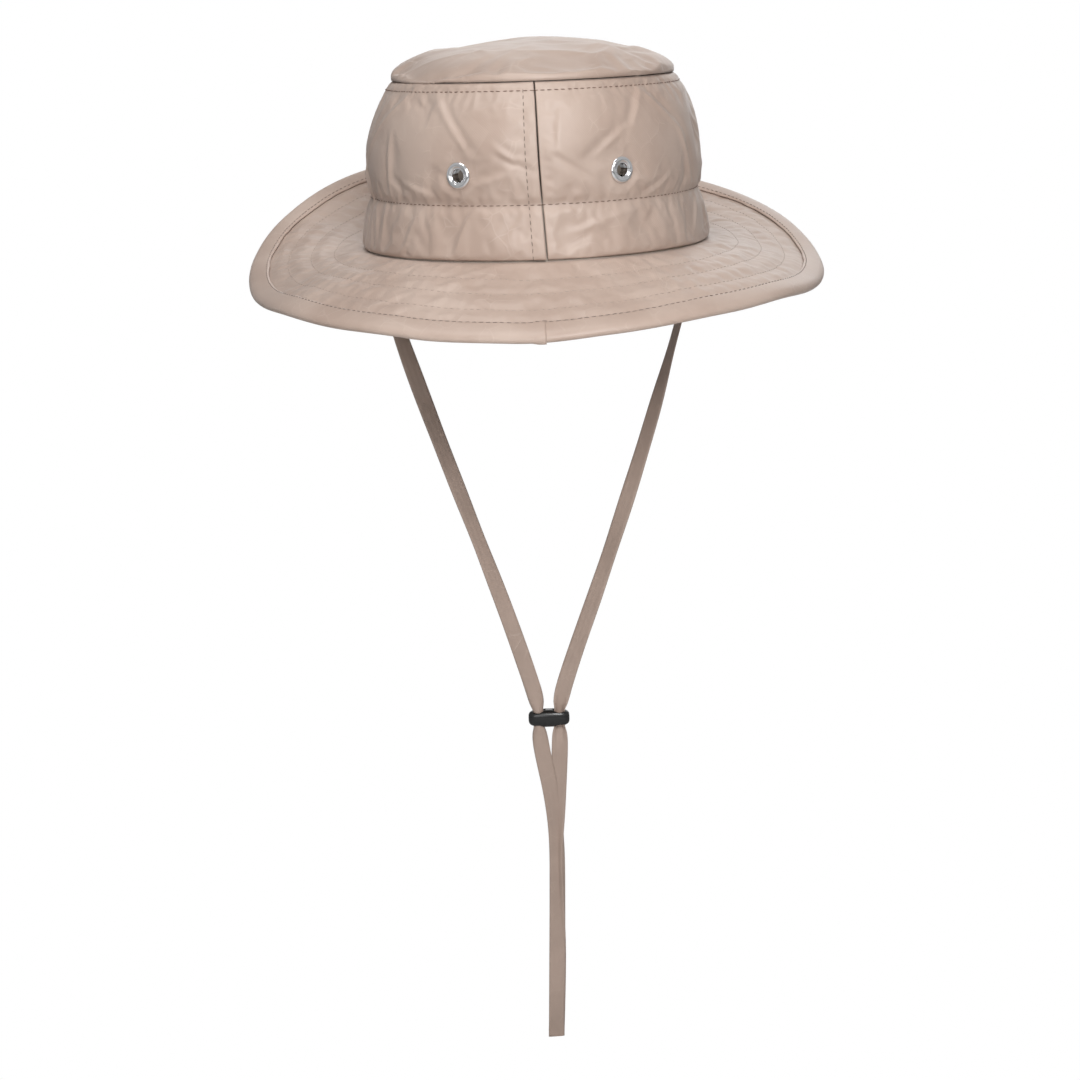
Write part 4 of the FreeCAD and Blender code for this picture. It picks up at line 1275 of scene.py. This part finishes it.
class HAT_OT_brim(bpy.types.Operator):
    """Make the brim's layers and the folded binding on its rim"""
    bl_idname = "hat.brim"
    bl_label = "Brim"

    def execute(self, context):
        s = sizes()
        points, across = brim_grid(BRIM_ROWS, 0.0)
        top = grid_object("brim_upper_cloth", points, wrap=True, uv=cloth_uv(points, True))
        rings = [*STITCH_RINGS, s.brim_width - s.binding_width]
        pinned = np.isin(across, rings) | (across <= 0) | (across > s.brim_width - s.binding_width)
        turn_over(top)
        upward = np.tile([0.0, 0.0, 1.0], (pinned.size, 1))
        drape(top, pinned.ravel(), 0.014, 0.35, 0.0013, 2.0, outward=upward, stop=0.0001)
        thicken(top, s.cloth)
        settle_piece(top, "hat", "crinkled nylon", "shell_cloth", "brim_top")
        points, _ = brim_grid(BRIM_ROWS, -s.brim_stack + 0.0006)
        under = grid_object("brim_under_cloth", points, wrap=True, uv=cloth_uv(points, True))
        thicken(under, -s.cloth)
        settle_piece(under, "hat", "crinkled nylon", "shell_cloth", "brim_underside")
        points, _ = brim_grid(BRIM_ROWS, -0.0011)
        felt = grid_object("brim_stiffener", points, wrap=True, uv=cloth_uv(points, True))
        thicken(felt, 0.0003, 0)
        settle_piece(felt, "hat", "interlining", "interlining", "brim_interlining")
        self.binding()
        return {"FINISHED"}

    @staticmethod
    def binding():
        """The folded tape round the rim, its ends lapped at the middle of the -Y side."""
        s = sizes()
        start = -math.pi / 2 - 0.016
        angle = start + np.linspace(-0.002, 2 * math.pi + 0.034, BRIM_COLUMNS + 12)
        width, stack = s.brim_width, s.brim_stack
        outline = [(width - s.binding_width, 0.0002), (width - s.binding_width + 0.0004, 0.0009),
                   (width - 0.0055, 0.00125), (width - 0.002, 0.0013), (width + 0.0003, 0.0009),
                   (width + 0.0012, -0.0004), (width + 0.0013, -0.0014), (width + 0.0007, -0.0026),
                   (width - 0.001, -stack - 0.0011), (width - 0.005, -stack - 0.0011),
                   (width - s.binding_width + 0.0004, -stack - 0.0008),
                   (width - s.binding_width, -stack - 0.0001)]
        lap = ease((angle - (start + 2 * math.pi - 0.004)) / 0.016) * 0.0005
        wander = noise_at(np.stack([np.cos(angle) * 3, np.sin(angle) * 3, 0 * angle], axis=-1), 6.0, 51)
        rows = []
        for index, (across, lift) in enumerate(outline):
            away = 1.0 if lift > -0.0010 else -1.0
            slant = across + (0.0006 * wander if index in (0, 1, 10, 11) else 0)
            outward = lap if index in (4, 5, 6, 7) else 0
            point = brim_point(angle, slant + outward, lift + away * lap)
            middle = brim_point(angle, across + 0 * angle, 0.0)
            point[..., 2] += brim_waves(middle)
            rows.append(point)
        points = np.array(rows)
        obj = grid_object("rim_binding", points, uv=cloth_uv(points, False))
        rounding = obj.modifiers.new("Rounding", "SUBSURF")
        rounding.levels = 1
        rounding.render_levels = 1
        thicken(obj, 0.0005, 0, 0)
        settle_piece(obj, "hat", "crinkled nylon", "tape_cloth", "brim_binding")


# ------------------------------------------------------------------ fittings
class HAT_OT_eyelets(bpy.types.Operator):
    """Make the four rolled eyelets and their washers"""
    bl_idname = "hat.eyelets"
    bl_label = "Eyelets"

    def execute(self, context):
        for side, centre, out in eyelet_spots():
            place = Matrix.Translation(centre) @ out.to_track_quat("Z", "Y").to_matrix().to_4x4()
            rolled = [(0.00300, -0.0044), (0.00340, -0.0044), (0.00340, 0.0001), (0.00600, 0.0001),
                      (0.00628, 0.00028), (0.00634, 0.00055), (0.00615, 0.00090), (0.00560, 0.00128),
                      (0.00500, 0.00142), (0.00445, 0.00134), (0.00405, 0.00108), (0.00390, 0.00092),
                      (0.00375, 0.00092), (0.00355, 0.00104), (0.00332, 0.00104), (0.00312, 0.00078),
                      (0.00301, 0.00030)]
            eyelet = lathe(f"vent_eyelet_{side}", rolled, place, 72)
            settle_piece(eyelet, "hat", "metal", "eyelet_metal", f"eyelet_{side}")
            ring = [(0.00355, -0.0044), (0.00355, -0.0049), (0.0044, -0.0054), (0.0054, -0.0051),
                    (0.0060, -0.0045), (0.0060, -0.0043)]
            washer = lathe(f"vent_washer_{side}", ring, place, 48)
            settle_piece(washer, "hat", "metal", "eyelet_metal", f"washer_{side}")
        return {"FINISHED"}


class HAT_OT_label(bpy.types.Operator):
    """Make the blank care label and the patches that hold the strap ends"""
    bl_idname = "hat.label"
    bl_label = "Label and patches"

    def execute(self, context):
        low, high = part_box("care_label")
        across = np.linspace(low.x, high.x, 14)
        heights = np.linspace(low.z, high.z, 16)
        wide, tall = np.meshgrid(across, heights)
        curl = 0.0016 * np.sin((tall - low.z) / (high.z - low.z) * 2.4) - 0.9 * wide ** 2 / 0.09 * 0.5
        points = np.stack([wide, low.y - 0.0008 - curl + 0 * wide, tall], axis=-1)
        label = grid_object("blank_label", points, uv=cloth_uv(points, False))
        thicken(label, 0.0003)
        settle_piece(label, "hat", "label", "label_cloth", "care_label")
        for side in ("left", "right"):
            self.patch(side)
        return {"FINISHED"}

    @staticmethod
    def patch(side):
        """A rounded patch that follows the sweatband."""
        low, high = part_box(f"strap_anchor_{side}")
        sign = -1 if side == "left" else 1
        steps = np.linspace(-1, 1, 15)
        second, first = np.meshgrid(steps, steps)
        soft = 1 - 0.12 * (first * second) ** 2
        half = (high - low) / 2
        middle = (high + low) / 2
        points = np.stack([sign * (abs(middle.x) - 0.0002 * second ** 2 + 0 * first),
                           middle.y + second * half.y * soft, middle.z + first * half.z * soft], axis=-1)
        obj = grid_object(f"strap_patch_{side}", points, uv=cloth_uv(points, False))
        thicken(obj, 0.0006, 0, 0)
        settle_piece(obj, "hat", "strap tape", "tape_cloth", f"strap_anchor_{side}")


# ------------------------------------------------------------------ stitching
def surface_drop(name):
    """A function that drops points onto the outer face of a finished piece, against outward."""
    graph = bpy.context.evaluated_depsgraph_get()
    shown = bpy.data.objects[name].evaluated_get(graph)

    def drop(points, outward, lift):
        placed = []
        for point, away in zip(points, np.broadcast_to(outward, points.shape)):
            found, place, _, _ = shown.ray_cast(Vector(point + away * 0.012), Vector(-away), distance=0.024)
            placed.append(place + Vector(away) * lift if found else Vector(point))
        return np.array(placed)

    return drop


def wall_away(points):
    """Outward directions from the crown's wall."""
    half = sizes().base_half
    away = np.stack([points[..., 0] / half ** 2, points[..., 1] / (half + sizes().lengthening) ** 2,
                     0 * points[..., 0]], axis=-1)
    return away / np.linalg.norm(away, axis=-1, keepdims=True)


class HAT_OT_stitching(bpy.types.Operator):
    """Sew the rows of stitches onto the crown, the brim and the band"""
    bl_idname = "hat.stitching"
    bl_label = "Stitching"

    def execute(self, context):
        s = sizes()
        lift = s.thread_radius * 0.5
        rows = {"left": [], "right": []}
        for side, sign in (("left", -1), ("right", 1)):
            drop = surface_drop(f"crown_panel_{side}")
            angle = sign * np.linspace(0.012, math.pi - 0.012, 420)
            for height in (s.band_height, s.seam_height - TOP_ROW_DROP):
                line = wall_point(angle, height + 0 * angle, 0.0)
                rows[side].append(drop(line, wall_away(line), lift))
        drop = surface_drop("crown_panel_left")
        heights = np.linspace(0.002, s.seam_height - 0.0045, 90)
        seams = []
        for middle in (-LAP_ROW / SEAM_RADIUS, LAP_ROW / SEAM_RADIUS - math.pi):
            line = wall_point(middle + 0 * heights, heights, 0.0)
            seams.append(drop(line, wall_away(line), lift * 0.5))
        # The lapped seam's row uses the dark rim thread, partly a painted seam shadow.
        sew("lap_stitches", seams, "hat", 16, finish="rim thread with painted shadow")
        sew("crown_stitches_left", rows["left"], "hat", 11)
        sew("crown_stitches_right", rows["right"], "hat", 12)
        self.brim_rows()
        self.band_rows()
        return {"FINISHED"}

    @staticmethod
    def brim_rows():
        """Rings of stitches on both faces of the brim and at the binding's edge."""
        s = sizes()
        angle = np.linspace(0, 2 * math.pi, 1100)
        above = surface_drop("brim_upper_cloth")
        below = surface_drop("brim_under_cloth")
        lines = []
        for ring in STITCH_RINGS:
            line = brim_point(angle, ring + 0 * angle, -0.001)
            lines.append(above(line, (0.0, 0.0, 1.0), -s.thread_radius * 0.2))
            lines.append(below(line, (0.0, 0.0, -1.0), -s.thread_radius * 0.2))
        sew("brim_stitches", lines, "hat", 13, uneven=0.08, finish="pale thread")
        edge = surface_drop("rim_binding")
        line = brim_point(angle, s.brim_width - s.binding_width + 0.0013 + 0 * angle, -0.001)
        lines = [edge(line, (0.0, 0.0, 1.0), s.thread_radius * 0.3),
                 edge(line, (0.0, 0.0, -1.0), s.thread_radius * 0.3)]
        # The binding's row uses the dark rim thread, partly a painted shadow of the folded edge.
        sew("binding_stitches", lines, "hat", 14, finish="rim thread with painted shadow")

    @staticmethod
    def band_rows():
        """The sweatband's own edge rows and the crosses on the strap patches."""
        s = sizes()
        drop = surface_drop("sweatband_band")
        angle = np.linspace(-math.pi, math.pi, 700)
        lines = []
        for height in (0.003, s.band_height - 0.0025):
            line = wall_point(angle, height + 0 * angle, 0.0030)
            lines.append(drop(line, -wall_away(line), s.thread_radius * 0.4))
        for side, sign in (("left", -1), ("right", 1)):
            low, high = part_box(f"strap_anchor_{side}")
            x = (high.x if sign < 0 else low.x) - sign * 0.0003
            y0, y1, z0, z1 = low.y + 0.0012, high.y - 0.0012, low.z + 0.0012, high.z - 0.0012
            corners = [(x, y0, z0), (x, y1, z0), (x, y1, z1), (x, y0, z1), (x, y0, z0), (x, y1, z1)]
            lines.append(np.array(corners))
            lines.append(np.array([(x, y0, z1), (x, y1, z0)]))
        sew("band_stitches", lines, "hat", 15)


CLASSES = (HatSizes, HatColours, HAT_OT_stage, HAT_OT_toggle, HAT_OT_chin_strap, HAT_OT_crown,
           HAT_OT_brim, HAT_OT_lining, HAT_OT_eyelets, HAT_OT_label, HAT_OT_stitching)
STEPS = tuple(cls for cls in CLASSES if hasattr(cls, "bl_idname"))


class HAT_PT_panel(bpy.types.Panel):
    """Lists the hat's steps in the sidebar"""
    bl_label = "Boonie Hat"
    bl_idname = "HAT_PT_panel"
    bl_space_type = "VIEW_3D"
    bl_region_type = "UI"
    bl_category = "Hat"

    def draw(self, context):
        column = self.layout.column()
        for step in STEPS:
            column.operator(step.bl_idname)
        for group in (context.scene.hat_sizes, context.scene.hat_colours):
            for name in group.__annotations__:
                column.prop(group, name)


def register():
    """Register the classes and the scene's settings."""
    for cls in (*CLASSES, HAT_PT_panel):
        bpy.utils.register_class(cls)
    bpy.types.Scene.hat_sizes = PointerProperty(type=HatSizes)
    bpy.types.Scene.hat_colours = PointerProperty(type=HatColours)


def unregister():
    """Remove the settings and the classes."""
    del bpy.types.Scene.hat_colours
    del bpy.types.Scene.hat_sizes
    for cls in reversed((*CLASSES, HAT_PT_panel)):
        bpy.utils.unregister_class(cls)


def main():
    """Register the classes and build the whole hat."""
    register()
    for step in STEPS:
        group, name = step.bl_idname.split(".")
        getattr(getattr(bpy.ops, group), name)()


if __name__ == "__main__":
    main()
